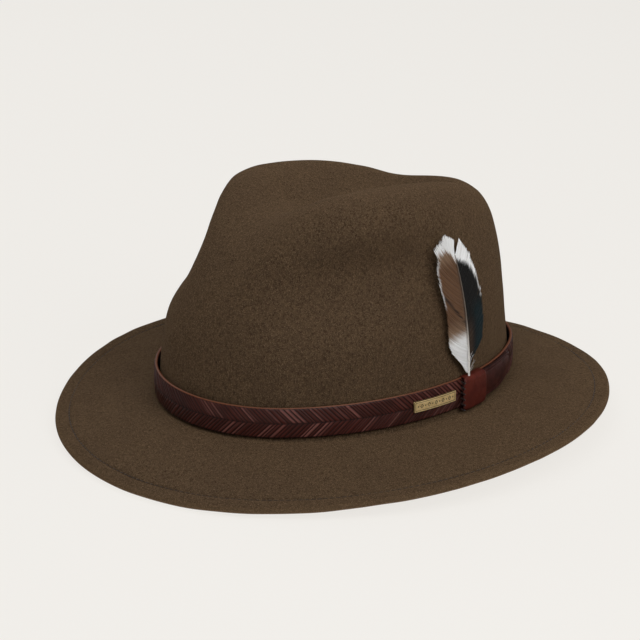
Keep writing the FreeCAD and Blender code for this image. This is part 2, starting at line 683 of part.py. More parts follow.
def build():
    """Every sub-part, by the name of its file."""
    whole_felt = felt()
    threads = brim_threads()
    front, behind = snap_block(), crown_block()
    return {
        "felt_body": whole_felt.common(behind),
        "brim_front": whole_felt.common(front),
        "brim_thread": Part.makeCompound([thread.common(behind) for thread in threads]),
        "brim_front_thread": Part.makeCompound([thread.common(front) for thread in threads]),
        "sweatband": sweatband(),
        "sweatband_reed": reed(),
        "sweatband_thread": sweatband_thread(),
        "sweatband_bow": sweatband_bow(),
        "lining_side": lining_side(),
        "lining_tip": lining_tip(),
        "lining_piping": lining_piping(),
        "hatband_strap": hatband_strap(),
        "strap_tongue": strap_tongue(),
        "keeper_loop": keeper_loop(),
        "keeper_thread": keeper_thread(),
        "badge_plate": badge_plate(),
        "feather_quill": feather_quill(),
        "feather_brown_vane": feather_brown_vane(),
        "feather_dark_vane": feather_dark_vane(),
    }


os.makedirs("parts", exist_ok=True)
for node, shape in build().items():
    shape.exportStep("parts/" + node + ".step")
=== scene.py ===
import math

import bmesh
import bpy
import numpy as np
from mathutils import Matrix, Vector


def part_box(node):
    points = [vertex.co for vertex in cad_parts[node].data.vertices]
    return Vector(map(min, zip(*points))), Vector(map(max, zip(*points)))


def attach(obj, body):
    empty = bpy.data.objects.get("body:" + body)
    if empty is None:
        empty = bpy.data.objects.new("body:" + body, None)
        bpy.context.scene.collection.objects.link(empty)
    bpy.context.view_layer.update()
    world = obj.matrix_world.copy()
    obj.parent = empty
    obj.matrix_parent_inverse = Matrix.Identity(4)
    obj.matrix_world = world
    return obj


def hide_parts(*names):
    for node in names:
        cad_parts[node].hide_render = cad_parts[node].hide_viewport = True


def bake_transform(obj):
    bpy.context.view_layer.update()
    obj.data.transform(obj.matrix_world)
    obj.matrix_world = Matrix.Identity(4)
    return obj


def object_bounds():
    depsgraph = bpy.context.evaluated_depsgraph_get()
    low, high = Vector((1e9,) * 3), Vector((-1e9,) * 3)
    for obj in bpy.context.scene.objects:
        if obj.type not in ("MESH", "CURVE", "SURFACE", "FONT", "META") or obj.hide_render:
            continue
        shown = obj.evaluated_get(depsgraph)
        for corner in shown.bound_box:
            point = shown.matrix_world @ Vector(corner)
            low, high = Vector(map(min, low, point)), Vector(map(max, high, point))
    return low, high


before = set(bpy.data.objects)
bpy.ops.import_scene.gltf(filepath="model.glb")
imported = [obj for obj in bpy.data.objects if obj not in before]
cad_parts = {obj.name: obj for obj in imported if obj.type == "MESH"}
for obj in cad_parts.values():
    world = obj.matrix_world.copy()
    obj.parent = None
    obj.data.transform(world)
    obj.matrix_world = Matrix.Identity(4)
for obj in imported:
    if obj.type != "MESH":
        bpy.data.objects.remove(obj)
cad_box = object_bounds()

# A fur-felt fedora. Lengths are millimetres until a mesh is made, which turns them into metres.
# The front of the hat faces -Y and the wearer's left is +X. A "turn" is an angle round the hat
# from its front towards the wearer's left, and a "share" runs from 0 at one end to 1 at the other.
MM = 0.001
TURN = 2 * math.pi
MERGE_WITHIN = 4e-6

# Foot of the crown: an oval of four arcs
FOOT_HALF_LENGTH, FOOT_HALF_WIDTH, FOOT_END_RADIUS = 105.0, 83.6, 72.0
FOOT_END_OFFSET = FOOT_HALF_LENGTH - FOOT_END_RADIUS
FOOT_RADIUS_GAP = FOOT_HALF_WIDTH - FOOT_END_RADIUS
FOOT_SIDE_OFFSET = (FOOT_END_OFFSET ** 2 - FOOT_RADIUS_GAP ** 2) / (2 * FOOT_RADIUS_GAP)
FOOT_SIDE_RADIUS = FOOT_HALF_WIDTH + FOOT_SIDE_OFFSET
FOOT_JOIN = math.atan2(FOOT_END_OFFSET, FOOT_SIDE_OFFSET)

# Crown
CROWN_HEIGHT = 121.2
WALL_SQUARENESS = (6.36, -1.51, -2.12)
SIDE_LEAN_IN, SIDE_LEAN_POWER = 0.128, 2.0
FRONT_LEAN_IN, BACK_LEAN_IN, END_LEAN_POWER = 0.16, 0.031, 1.02
TOP_FORWARD = 6.6
TEARDROP_NARROWING, TEARDROP_REACH = 0.252, 91.8
FRONT_FALL, FRONT_FALL_SPAN = 17.0, (24.4, 102.1)
BACK_FALL, BACK_FALL_SPAN = 6.8, (-18.4, 81.9)
RIGHT_RIDGE_DROP, RIDGE_SPREAD = 8.7, 40.8
CREASE_DEPTH, CREASE_SHAPE = 16.2, 2.4
CREASE_FRONT_WIDTH, CREASE_BACK_WIDTH, CREASE_WIDTH_SPAN = 24.3, 28.1, (-71.4, 30.6)
CREASE_BACK_SPAN, CREASE_FRONT_SPAN = (60.0, 86.6), (13.2, 72.7)
PINCH_DEPTH = 13.0
PINCH_TURN, PINCH_TURN_WIDTH, PINCH_TURN_SHAPE = 58.8, 38.1, 2.83
PINCH_HEIGHT, PINCH_RISE = 80.3, 0.197
PINCH_BELOW_WIDTH, PINCH_BELOW_SHAPE = 21.7, 2.6
PINCH_ABOVE_WIDTH, PINCH_ABOVE_SHAPE = 20.2, 1.95
PINCH_FADE_SPAN = (0.93, 0.99)

# Brim: sizes change with the cosines of none, one, two and three turns, and the skews, which
# make its two sides a little unlike, with the sines of one and two turns
BRIM_WIDTH, BRIM_WIDTH_SKEW = (59.9, 2.8, -5.8, 0.4), (-0.4, -1.0)
BRIM_SLOPE = (-0.160, -0.028, -0.036, 0.002)
BRIM_CURL = (-0.022, -0.052, -0.051, -0.004)
EDGE_LIFT, EDGE_LIFT_SKEW, EDGE_LIFT_POWER = (0.0, 2.1, -0.2), (0.6, -2.4), 1.5
BRIM_BACK_SHIFT = 2.0
BREAK_DROP, BREAK_FADE = 0.9, 6.0

# Sheet of felt: rings from the top down; EDGE_ROWS are distances from the brim's edge
FELT, FELT_TURNS = 2.2, 400
CROWN_ROWS, TOP_CLIMB, FOOT_CLIMB = 84, 89.3, 1.6
BRIM_ROWS, EDGE_ZONE = 22, 13.0
EDGE_ROWS = (12, 11, 10.3, 10, 9.7, 9.4, 9, 8.7, 8.45, 8.2, 7.95, 7.7, 7.3, 6.8, 6, 5, 4, 3, 2.2, 1.6, 1.25)
FAR_FROM_EDGE = 80.0
EDGE_RADIUS, EDGE_ROLL, RIM_ANGLES = 1.25, 0.35, (66, 44, 22, 0, -22, -44, -66)
WELT_THICK, WELT_INSET, WELT_STEP = 1.1, 9.8, 0.25
STITCH_INSET, GROOVE_DEPTH, GROOVE_WIDTH = 8.2, 0.45, 0.75
STITCH_LENGTH, STITCH_STEP, STITCH_RADIUS = 2.7, 3.2, 0.27
STITCH_SHARES = np.array([-0.5, -0.38, -0.2, 0, 0.2, 0.38, 0.5])
STITCH_DIPS = np.array([-0.5, -0.12, 0.06, 0.12, 0.06, -0.12, -0.5])

# Hatband: distances out from the crown's foot, and its ribs
STRAP_BACK, STRAP_FRONT, STRAP_CROWN, STRAP_GAP_HALF = 0.5, 2.3, 0.55, 1.5
SADDLE = 0.9
RIB_PITCH, RIB_DEPTH, RIB_SLANT, RIB_MARGIN = 2.4, 0.42, 0.95, 14
RIB_COLUMNS = 9
PRESSED = 0.03
BAND_RIM = 0.055

# Tongue, keeper and plate
TONGUE_BACK, TONGUE_FRONT, TONGUE_FROM, TONGUE_CREASE_INSET = 2.95, 4.05, 2.0, 1.9
KEEPER_HALF_LENGTH, KEEPER_BACK, KEEPER_FRONT, KEEPER_LEATHER = 10.2, 0.45, 5.55, 1.0
KEEPER_CORNER_FRONT, KEEPER_CORNER_BACK, KEEPER_POINTS = 2.4, 0.3, 96
KEEPER_STITCHES = 6
PLATE_THICK, PLATE_LIFT, PLATE_CORNER = 0.75, 0.2, 0.8
PLATE_EDGE, PLATE_BORDER, PLATE_CUT = 0.35, 0.95, 0.22

# Feather: where it stands beside the crown's left, its shaft and its barbs
FEATHER_ARC, FEATHER_OUT, FEATHER_LEVEL = math.radians(9.5), 3.25, 19.8
FEATHER_TILT_IN, FEATHER_LEAN_FRONT = math.radians(5.0), math.radians(1.5)
FEATHER_BEND, FEATHER_BEND_SPAN = 4.0, (30, 82)
SHAFT_FOOT, SHAFT_TOP, SHAFT_BEND = -8.0, 69.0, 0.0026
BARBS, BARB_RADIUS, BARB_STEPS, TUFT, BARB_SWING = 270, 0.24, 10, 7, math.radians(11)

# Outlines from the keeper up: distance towards the hat's back, height, and where the barbs spring from
BROWN_OUTLINE = [
    (-1.4, 2.7, 1.0), (-5.2, 8.3, 3.5), (-12.3, 16.2, 8.0), (-14.7, 23.4, 12.0), (-14.1, 30.5, 18.0),
    (-14.4, 41.1, 26.0), (-18.3, 56.0, 38.0), (-19.1, 64.7, 46.0), (-17.4, 70.5, 51.5), (-19.7, 76.1, 54.0),
    (-16.8, 79.7, 58.0), (-10.7, 82.0, 62.0), (-5.8, 79.7, 65.0), (-2.6, 77.6, 68.0),
]
DARK_OUTLINE = [
    (2.4, 4.0, 2.0), (5.4, 9.8, 5.0), (8.7, 12.2, 7.5), (14.0, 17.5, 10.0), (16.3, 28.8, 17.0),
    (15.8, 43.0, 28.0), (12.5, 56.5, 42.0), (7.9, 68.5, 56.0), (1.2, 77.5, 66.0), (-0.6, 72.5, 68.5),
]

# Inside: depths below the crown's outer skin, and climbs in degrees
LINING_DEPTH, LINING_THICK, LINING_FROM, LINING_SEAM = 2.65, 0.25, 6.0, 38.0
LINING_TURNS, TIP_TURNS, TIP_SAG = 240, 160, 4.0
PIPING_TURNS, PIPING_RADIUS, STRAND_DEPTH = 900, 0.55, 0.13
BAND_DEPTH, BAND_THICK, BAND_TOP, BAND_TURNS = 3.15, 1.0, 35.5, 360
REED_LEVEL, REED_RADIUS, REED_TURNS, CORD_SIDES = -1.35, 1.0, 900, 14
SEAM_LEVEL, SEAM_STEP, SEAM_LENGTH = 3.4, 3.4, 2.5
SEAM_SHARES = np.array([-0.5, -0.4, -0.2, 0, 0.2, 0.4, 0.5])
SEAM_DIPS = np.array([-0.45, -0.1, 0.08, 0.12, 0.08, -0.1, -0.45])

# Studio, in metres and degrees: the camera, and soft lights by azimuth, elevation and power
VIEW_AZIMUTH, VIEW_ELEVATION, VIEW_DISTANCE, VIEW_HEIGHT = 50.0, 20.693, 1.4974, 0.0204
VIEW_LENS, VIEW_SHIFT_X, VIEW_SHIFT_Y = 151.4, -0.02476, 0.03167
WORLD_LIGHT, WORLD_SEEN = 0.11, 0.86
FLOOR_HALF, FLOOR_GAP = 6.0, 0.0012
FLOOR_SHADE, FLOOR_GLOW, FLOOR_BOUNCE = (0.12, 0.119, 0.117, 1), 0.9, (0.6, 0.59, 0.575, 1)
LIGHT_DISTANCE, LIGHT_SIZE, LIGHT_AIM = 1.4, 0.7, Vector((0, 0, 0.05))
LIGHTS = {
    "front": (88, 36, 6.4), "top_front": (50, 56, 3.9), "back": (265, 35, 2.4), "left": (5, 58, 2.8),
    "right": (140, 50, 1.5), "top_back": (230, 55, 1.6), "near": (50, 25, 0.5),
    "below": (200, -60, 16.0), "below_front": (20, -70, 12.0),
}


# ---------------------------------------------------------------- numbers

def smooth(low, high, value):
    """Rises from 0 at low to 1 at high with flat ends."""
    share = np.clip((value - low) / (high - low), 0, 1)
    return share * share * (3 - 2 * share)


def waves(parts, turn):
    """Sum of cosines of 0, 1, 2 and 3 times the turn."""
    return sum(size * np.cos(count * turn) for count, size in enumerate(parts))


def skewed(parts, skew, turn):
    """Sum of cosines of the turn, with sines of one and two turns."""
    return waves(parts, turn) + skew[0] * np.sin(turn) + skew[1] * np.sin(2 * turn)


def bell(distance, width, shape=2):
    """A smooth bump, 1 at no distance."""
    return np.exp(-(np.abs(distance) / width) ** shape)


def turns(count):
    """Evenly spaced turns of a ring."""
    return np.arange(count) * TURN / count


def unit(vectors):
    """Vectors of length one."""
    return vectors / np.maximum(np.linalg.norm(vectors, axis=-1, keepdims=True), 1e-9)


def walked(points):
    """Distance walked along a line of points to each of them."""
    return np.concatenate([[0], np.cumsum(np.linalg.norm(np.diff(points, axis=0), axis=1))])


def folded(near, far):
    """Rings along the near side of a sheet and back along its far side."""
    return np.concatenate([near, far[::-1]])


def sampled(at, walk, points, period=None):
    """Points of a line at distances walked along it."""
    return np.stack([np.interp(at, walk, column, period=period) for column in np.transpose(points)], -1)


def ripple(points, wavelength, seed):
    """Smooth random field between about -1 and 1, the same on every run."""
    random = np.random.RandomState(seed)
    total = 0
    for _ in range(7):
        way = unit(random.normal(size=3))
        pitch = wavelength * random.uniform(0.7, 1.4)
        total = total + np.sin(points @ way * TURN / pitch + random.uniform(0, TURN))
    return total / 3.5


# ---------------------------------------------------------------- shapes of the felt

def oval_radius(turn):
    """Distance from the centre to the oval of the crown's foot."""
    across, ahead = np.abs(np.sin(turn)), np.abs(np.cos(turn))
    join_x = FOOT_SIDE_RADIUS * math.cos(FOOT_JOIN) - FOOT_SIDE_OFFSET
    join_y = FOOT_SIDE_RADIUS * math.sin(FOOT_JOIN)
    side = across * join_y > ahead * join_x
    centre_x = np.where(side, -FOOT_SIDE_OFFSET, 0.0)
    centre_y = np.where(side, 0.0, FOOT_END_OFFSET)
    radius = np.where(side, FOOT_SIDE_RADIUS, FOOT_END_RADIUS)
    along = across * centre_x + ahead * centre_y
    return along + np.sqrt(along ** 2 - centre_x ** 2 - centre_y ** 2 + radius ** 2)


def crown_points(turn, climb):
    """Outer skin of the crown; climb runs from 0 at the foot to a quarter turn at the top's centre."""
    square = waves(WALL_SQUARENESS, turn)
    norm = (np.cos(climb) ** square + np.sin(climb) ** square) ** (1 / square)
    out, up = np.cos(climb) / norm, np.sin(climb) / norm
    reach = oval_radius(turn) * out
    end_lean = BACK_LEAN_IN + (FRONT_LEAN_IN - BACK_LEAN_IN) * (1 + np.cos(turn)) / 2
    x = reach * np.sin(turn) * (1 - SIDE_LEAN_IN * up ** SIDE_LEAN_POWER)
    y = -reach * np.cos(turn) * (1 - end_lean * up ** END_LEAN_POWER) - TOP_FORWARD * up
    x = x * (1 - TEARDROP_NARROWING * smooth(0, TEARDROP_REACH, -y) * up ** 2)
    fall = FRONT_FALL * smooth(*FRONT_FALL_SPAN, -y) * up ** 2
    fall = fall + BACK_FALL * smooth(*BACK_FALL_SPAN, y) * up
    fall = fall + RIGHT_RIDGE_DROP * smooth(-RIDGE_SPREAD, RIDGE_SPREAD, -x) * up ** 2
    z = CROWN_HEIGHT * up - fall - crease_depth(x, y) * smooth(0.5, 0.98, up)
    keep = pinch_keep(x, y, z, up)
    return np.stack([x * keep, y * keep, z], -1)


def crease_depth(x, y):
    """Depth of the lengthwise crease in the top, which closes in front and behind."""
    widen = smooth(*CREASE_WIDTH_SPAN, y)
    width = CREASE_FRONT_WIDTH + (CREASE_BACK_WIDTH - CREASE_FRONT_WIDTH) * widen
    ends = (1 - smooth(*CREASE_BACK_SPAN, y)) * (1 - smooth(*CREASE_FRONT_SPAN, -y))
    return CREASE_DEPTH * ends * bell(x, width, CREASE_SHAPE)


def pinch_keep(x, y, z, up):
    """Share of a point's distance from the middle that the front pinch leaves."""
    side_turn = np.degrees(np.arctan2(np.abs(x), -y))
    middle = PINCH_HEIGHT + PINCH_RISE * (side_turn - PINCH_TURN)
    around = bell(side_turn - PINCH_TURN, PINCH_TURN_WIDTH, PINCH_TURN_SHAPE)
    below = bell(np.maximum(middle - z, 0), PINCH_BELOW_WIDTH, PINCH_BELOW_SHAPE)
    above = bell(np.maximum(z - middle, 0), PINCH_ABOVE_WIDTH, PINCH_ABOVE_SHAPE)
    depth = PINCH_DEPTH * around * below * above * (1 - smooth(*PINCH_FADE_SPAN, up))
    radius = np.hypot(x, y) + 1e-6
    return 1 - np.minimum(depth, 0.6 * radius) / radius


def brim_width(turn):
    """Width of the brim, measured flat."""
    return skewed(BRIM_WIDTH, BRIM_WIDTH_SKEW, turn)


def brim_points(turn, share):
    """Upper skin of the brim; share runs from 0 at the crown to 1 at the edge."""
    width = brim_width(turn)
    radius = oval_radius(turn) + width * share
    fall = waves(BRIM_SLOPE, turn) * share + waves(BRIM_CURL, turn) * share ** 2
    lift = skewed(EDGE_LIFT, EDGE_LIFT_SKEW, turn) * np.maximum(share, 0) ** EDGE_LIFT_POWER
    z = width * fall + lift - BREAK_DROP * (1 - share) ** BREAK_FADE
    return np.stack([radius * np.sin(turn), BRIM_BACK_SHIFT * share - radius * np.cos(turn), z], -1)


def skin_normals(rows):
    """Unit normals of rings listed from the top down, pointing out of the hat."""
    return unit(np.cross(np.gradient(rows, axis=0), np.roll(rows, -1, 1) - np.roll(rows, 1, 1)))


# ---------------------------------------------------------------- places round the foot of the crown

FINE_TURNS = np.linspace(0, TURN, 7201)
FOOT_LINE = oval_radius(FINE_TURNS)[:, None] * np.stack([np.sin(FINE_TURNS), -np.cos(FINE_TURNS)], -1)
FOOT_WALK = walked(FOOT_LINE)
FOOT_LENGTH = FOOT_WALK[-1]


def on_foot(distance, grow, height):
    """Points by distance round the foot from the front, distance out from it and height."""
    distance, grow, height = np.broadcast_arrays(distance, grow, height)
    foot = sampled(distance, FOOT_WALK, FOOT_LINE, FOOT_LENGTH)
    x, y = foot[..., 0], foot[..., 1]
    on_side = np.abs(y) * FOOT_SIDE_OFFSET < (np.abs(x) + FOOT_SIDE_OFFSET) * FOOT_END_OFFSET
    centre_x = np.where(on_side, -np.sign(x) * FOOT_SIDE_OFFSET, 0)
    centre_y = np.where(on_side, 0, np.sign(y) * FOOT_END_OFFSET)
    way = unit(foot - np.stack([centre_x, centre_y], -1))
    return np.concatenate([foot + way * grow[..., None], height[..., None]], -1)


def foot_distance(x, y):
    """Distance round the foot to the place nearest to a point beside it."""
    return float(np.interp(math.atan2(x, -y) % TURN, FINE_TURNS, FOOT_WALK))


def box_mm(node):
    """Lower and upper corners of a CAD node's box in millimetres."""
    return np.array([list(corner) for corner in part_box(node)]) / MM


KEEPER_AT = foot_distance(*box_mm("keeper_loop").mean(0)[:2])
STRAP_BOTTOM, STRAP_HEIGHT = box_mm("hatband_strap")[0, 2], np.ptp(box_mm("hatband_strap")[:, 2])
KEEPER_BOTTOM, KEEPER_HEIGHT = box_mm("keeper_loop")[0, 2], np.ptp(box_mm("keeper_loop")[:, 2])


def saddle(distance):
    """How far the band rides up at the hat's sides and down in front and behind."""
    return -SADDLE * np.cos(2 * TURN * distance / FOOT_LENGTH)


# ---------------------------------------------------------------- mesh and material tools

def ring_faces(rows, columns, loop):
    """Corner numbers of the quads between rings of points; loop joins the last ring to the first."""
    row = np.arange(rows if loop else rows - 1)[:, None] * columns
    column = np.arange(columns)
    above, beside = (row + columns) % (rows * columns), (column + 1) % columns
    corners = np.stack([row + column, row + beside, above + beside, above + column], -1)
    return [tuple(face) for face in corners.reshape(-1, 4).tolist()]


class Build:
    """Collects the points and faces of one piece, with any values that its material reads."""

    def __init__(self, name):
        self.name, self.faces, self.parts, self.count = name, [], {}, 0

    def rings(self, points, loop=False, **values):
        """Adds quads between rings of points; without loop, a hub in each end ring's middle closes it."""
        rows, columns = points.shape[:2]
        faces = ring_faces(rows, columns, loop)
        hubs = [] if loop else [(0, rows * columns), ((rows - 1) * columns, rows * columns + 1)]
        for start, hub in hubs:
            faces += [(start + k, start + (k + 1) % columns, hub) for k in range(columns)]
        self.faces += [tuple(self.count + corner for corner in face) for face in faces]
        self.count += rows * columns + len(hubs)
        for key, value in {"place": points, **values}.items():
            value = np.broadcast_to(value, (rows, columns) + np.shape(value)[2:])
            ends = [] if loop else [value[:1].mean(1), value[-1:].mean(1)]
            flat = value.reshape((-1,) + value.shape[2:])
            self.parts.setdefault(key, []).append(np.concatenate([flat, *ends]))

    def tubes(self, paths, radii, sides, up, flat=1.0, **values):
        """Adds closed tubes along paths (tubes, points, xyz); flat squeezes them along up."""
        along = unit(np.gradient(paths, axis=1))
        side = unit(np.cross(along, up))
        lift = np.cross(side, along)
        angle = turns(sides)[:, None]
        radii = np.broadcast_to(radii, paths.shape[:2])[..., None, None]
        reach = side[:, :, None] * np.cos(angle) + lift[:, :, None] * np.sin(angle) * flat
        for index, ring in enumerate(paths[:, :, None] + radii * reach):
            self.rings(ring, **{key: value[index][:, None] for key, value in values.items()})

    def make(self, material):
        """Makes the Blender object in metres, without points that coincide or faces without area."""
        parts = {key: np.concatenate(value) for key, value in self.parts.items()}
        mesh = bpy.data.meshes.new(self.name)
        mesh.from_pydata(parts.pop("place") * MM, [], self.faces)
        for key, value in parts.items():
            kind, field = ("FLOAT", "value") if value.ndim == 1 else ("FLOAT_VECTOR", "vector")
            mesh.attributes.new(key, kind, "POINT").data.foreach_set(field, value.astype(np.float32).ravel())
        work = bmesh.new()
        work.from_mesh(mesh)
        bmesh.ops.remove_doubles(work, verts=work.verts, dist=MERGE_WITHIN)
        bmesh.ops.dissolve_degenerate(work, edges=work.edges, dist=MERGE_WITHIN)
        bmesh.ops.recalc_face_normals(work, faces=work.faces)
        work.to_mesh(mesh)
        work.free()
        mesh.shade_smooth()
        return add_object(mesh, material)


def add_object(mesh, material=None):
    """Puts a mesh into the scene."""
    if material:
        mesh.materials.append(material)
    thing = bpy.data.objects.new(mesh.name, mesh)
    bpy.context.scene.collection.objects.link(thing)
    return thing


def settle(build, material, body, slot, *nodes):
    """Makes a piece in place of CAD nodes, on its body; a piece on "bent" is put on no body, with its
    placement baked into its points.
    """
    piece = build.make(material)
    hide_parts(*nodes)
    if body == "bent":
        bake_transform(piece)
    else:
        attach(piece, body)


def srgb(red, green, blue):
    """Colour from screen values of 0 to 255."""
    shares = [value / 255 for value in (red, green, blue)]
    return (*(part / 12.92 if part < 0.04045 else ((part + 0.055) / 1.055) ** 2.4 for part in shares), 1.0)


class Look:
    """Builds one material's nodes: colours are painted over each other, and so are reliefs."""

    def __init__(self, name):
        self.material = bpy.data.materials.new(name)
        self.material.use_nodes = True
        self.tree = self.material.node_tree
        self.shader = self.tree.nodes["Principled BSDF"]
        self.spot = self.tree.nodes.new("ShaderNodeTexCoord").outputs["Object"]
        self.colour, self.relief = None, None

    def put(self, node, key, value):
        """Sets or links one input; _ stands for a space in its name."""
        socket = node.inputs[key if isinstance(key, int) else key.replace("_", " ")]
        if isinstance(value, bpy.types.NodeSocket):
            self.tree.links.new(value, socket)
        else:
            socket.default_value = value

    def node(self, kind, inputs, **settings):
        """Adds a node with its settings and inputs."""
        node = self.tree.nodes.new("ShaderNode" + kind)
        for key, value in settings.items():
            setattr(node, key, value)
        for key, value in inputs.items():
            self.put(node, key, value)
        return node

    def noise(self, size, detail=3.0, roughness=0.55, stretch=(1, 1, 1)):
        """Noise whose spots are about size millimetres across."""
        spot = self.node("Mapping", {"Vector": self.spot, "Scale": stretch}).outputs[0]
        inputs = {"Vector": spot, "Scale": 1 / (size * MM), "Detail": detail, "Roughness": roughness}
        return self.node("TexNoise", inputs).outputs["Fac"]

    def pores(self, size):
        """Small cells, size millimetres across, as in the grain of leather."""
        return self.node("TexVoronoi", {"Vector": self.spot, "Scale": 1 / (size * MM)}).outputs["Distance"]

    def value(self, name):
        """A value stored on the mesh's points."""
        return self.node("Attribute", {}, attribute_name=name).outputs["Fac"]

    def vector(self, name):
        """The three parts of a vector stored on the mesh's points."""
        stored = self.node("Attribute", {}, attribute_name=name).outputs["Vector"]
        return self.node("SeparateXYZ", {0: stored}).outputs

    def math(self, operation, *terms):
        """One sum on numbers or sockets."""
        return self.node("Math", dict(enumerate(terms)), operation=operation).outputs[0]

    def mapped(self, value, low, high, to_low=0.0, to_high=1.0):
        """Value moved smoothly from one range to another."""
        inputs = {0: value, 1: low, 2: high, 3: to_low, 4: to_high}
        return self.node("MapRange", inputs, interpolation_type="SMOOTHSTEP").outputs[0]

    def mix(self, share, first, second):
        """Mix of two colours."""
        return self.node("Mix", {0: share, 6: first, 7: second}, data_type="RGBA").outputs[2]

    def paint(self, colour, share=None, low=None, high=None, most=1.0):
        """Paints a colour over those so far: by share, or where share goes from low to high."""
        if low is not None:
            share = self.mapped(share, low, high, 0.0, most)
        self.colour = colour if share is None else self.mix(share, self.colour, colour)

    def emboss(self, height, depth):
        """Adds a relief of a depth in millimetres."""
        inputs = {"Height": height, "Distance": depth * MM, "Strength": 1.0}
        if self.relief:
            inputs["Normal"] = self.relief
        self.relief = self.node("Bump", inputs).outputs[0]

    def done(self, **inputs):
        """Sets the shader's inputs and gives the material."""
        if self.relief:
            inputs["Normal"] = self.relief
        for key, value in {"Base_Color": self.colour, **inputs}.items():
            self.put(self.shader, key, value)
        return self.material


# ---------------------------------------------------------------- the felt

def felt_skin():
    """Rings of the felt from the top down to the edge, their normals and distances from the edge."""
    turn = turns(FELT_TURNS)
    climbs = np.radians(np.linspace(TOP_CLIMB, FOOT_CLIMB, CROWN_ROWS))[:, None]
    crown = crown_points(turn, climbs)
    width = brim_width(turn)
    inner = width - (width - EDGE_ZONE) * np.linspace(0.015, 1, BRIM_ROWS)[:, None]
    distances = np.concatenate([inner, np.array(EDGE_ROWS)[:, None] + 0 * turn])
    rows = np.concatenate([crown, brim_points(turn, 1 - distances / width)])
    distances = np.concatenate([np.full(crown.shape[:2], FAR_FROM_EDGE), distances])
    normals = skin_normals(rows)
    soften = 0.22 * ripple(rows, 46, 3) + 0.1 * ripple(rows, 17, 4)
    calm = smooth(0, 12, np.abs(rows[..., 2]) + np.clip(FAR_FROM_EDGE - distances, 0, 30))
    return rows + normals * (soften * calm)[..., None], normals, distances


def felt():
    """Crown and brim as one sheet of felt, turned under and stitched down along its edge."""
    rows, normals, distances = felt_skin()
    groove = GROOVE_DEPTH * bell(distances - STITCH_INSET, GROOVE_WIDTH)
    roll = EDGE_ROLL * smooth(STITCH_INSET, 3, distances)
    outer = rows + normals * (roll - groove)[..., None]
    up, thick = normals[-1], FELT + WELT_THICK
    out = unit(np.cross(np.roll(outer[-1], -1, 0) - np.roll(outer[-1], 1, 0), up))
    angles = np.radians(RIM_ANGLES)[:, None, None]
    rim = outer[-1] + out * np.cos(angles) * EDGE_RADIUS + up * (np.sin(angles) - 1) * thick / 2
    welt = WELT_THICK * (1 - smooth(WELT_INSET - WELT_STEP, WELT_INSET + WELT_STEP, distances))
    under = outer - normals * (FELT + welt - 1.6 * groove)[..., None]
    edge = np.zeros(rim.shape[:2])

    def sheet(above, round_edge, below):
        brim, crown = below[:CROWN_ROWS - 1:-1], below[CROWN_ROWS - 1::-2]
        return np.concatenate([above, round_edge, brim, crown])

    build = Build("felt")
    build.rings(sheet(outer, rim, under), edge=sheet(distances, edge, distances))
    settle(build, felt_material(), "bent", "felt", "felt_body", "brim_front")


def felt_material():
    """Brushed fur felt: short matted fibres, slightly mottled, with a soft pale bloom."""
    look = Look("fur_felt")
    mottle = look.noise(1.7, detail=6, roughness=0.75)
    fibre = look.noise(0.5, detail=4, roughness=0.75)
    drawn = look.noise(0.9, roughness=0.6, stretch=(1, 1, 0.3))
    look.paint(srgb(83, 65, 48))
    look.paint(srgb(90, 71, 52), look.noise(26, detail=2), 0.35, 0.65)
    look.paint(srgb(58, 44, 30), mottle, 0.4, 0.62, 0.9)
    look.paint(srgb(140, 116, 90), fibre, 0.48, 0.66, 0.75)
    look.paint(srgb(44, 33, 23), drawn, 0.46, 0.3, 0.6)
    look.paint(srgb(120, 96, 70), look.value("edge"), 3.0, 0.0, 0.3)
    look.emboss(fibre, 0.35)
    look.emboss(mottle, 1.0)
    return look.done(
        Roughness=0.94, Specular_IOR_Level=0.1, Sheen_Weight=0.22, Sheen_Roughness=0.3,
        Sheen_Tint=srgb(222, 178, 130),
    )


def brim_stitches():
    """Two rows of single stitches, on top of the brim and under it, that hold its turned edge."""
    fine = turns(2400)
    width = brim_width(fine)
    line = brim_points(fine, 1 - STITCH_INSET / width)
    out = brim_points(fine, 1 - (STITCH_INSET - 0.5) / width)
    normal = unit(np.cross(out - line, np.roll(line, -1, 0) - line))
    line, normal = np.vstack([line, line[:1]]), np.vstack([normal, normal[:1]])
    walk = walked(line)
    count = round(walk[-1] / STITCH_STEP)
    at = np.arange(count)[:, None] * walk[-1] / count + STITCH_SHARES * STITCH_LENGTH
    centre, up = sampled(at, walk, line, walk[-1]), unit(sampled(at, walk, normal, walk[-1]))
    build = Build("brim_stitches")
    for side, depth in ((1, GROOVE_DEPTH - 0.05), (-1, FELT + WELT_THICK - 0.3)):
        build.tubes(centre + up * (side * STITCH_DIPS - depth)[:, None], STITCH_RADIUS, 6, up)
    look = thread_material("brim_thread", srgb(62, 47, 33))
    settle(build, look, "bent", "felt_thread", "brim_thread", "brim_front_thread")


def thread_material(name, colour):
    """Twisted thread."""
    look = Look(name)
    twist = look.noise(0.25, detail=2)
    look.paint(colour)
    look.paint((*(part * 0.45 for part in colour[:3]), 1), twist, 0.3, 0.7, 0.5)
    look.emboss(twist, 0.1)
    return look.done(Roughness=0.75, Specular_IOR_Level=0.25, Sheen_Weight=0.2)


# ---------------------------------------------------------------- hatband

def rib_columns(start, end):
    """Places, depths and shades across hand-cut ribs of uneven width."""
    random = np.random.RandomState(11)
    shares = np.linspace(0, 1, RIB_COLUMNS, endpoint=False)
    rise = smooth(0, 0.22, shares) * (1 - smooth(0.55, 1.05, shares) * 0.8)
    columns = []
    while start < end:
        width = RIB_PITCH * random.uniform(0.62, 1.4)
        strength, shade = random.uniform(0.55, 1.0), random.uniform(0, 1)
        columns += list(zip(start + width * shares, strength * rise, shade + 0 * shares))
        start += width
    return np.transpose(columns)


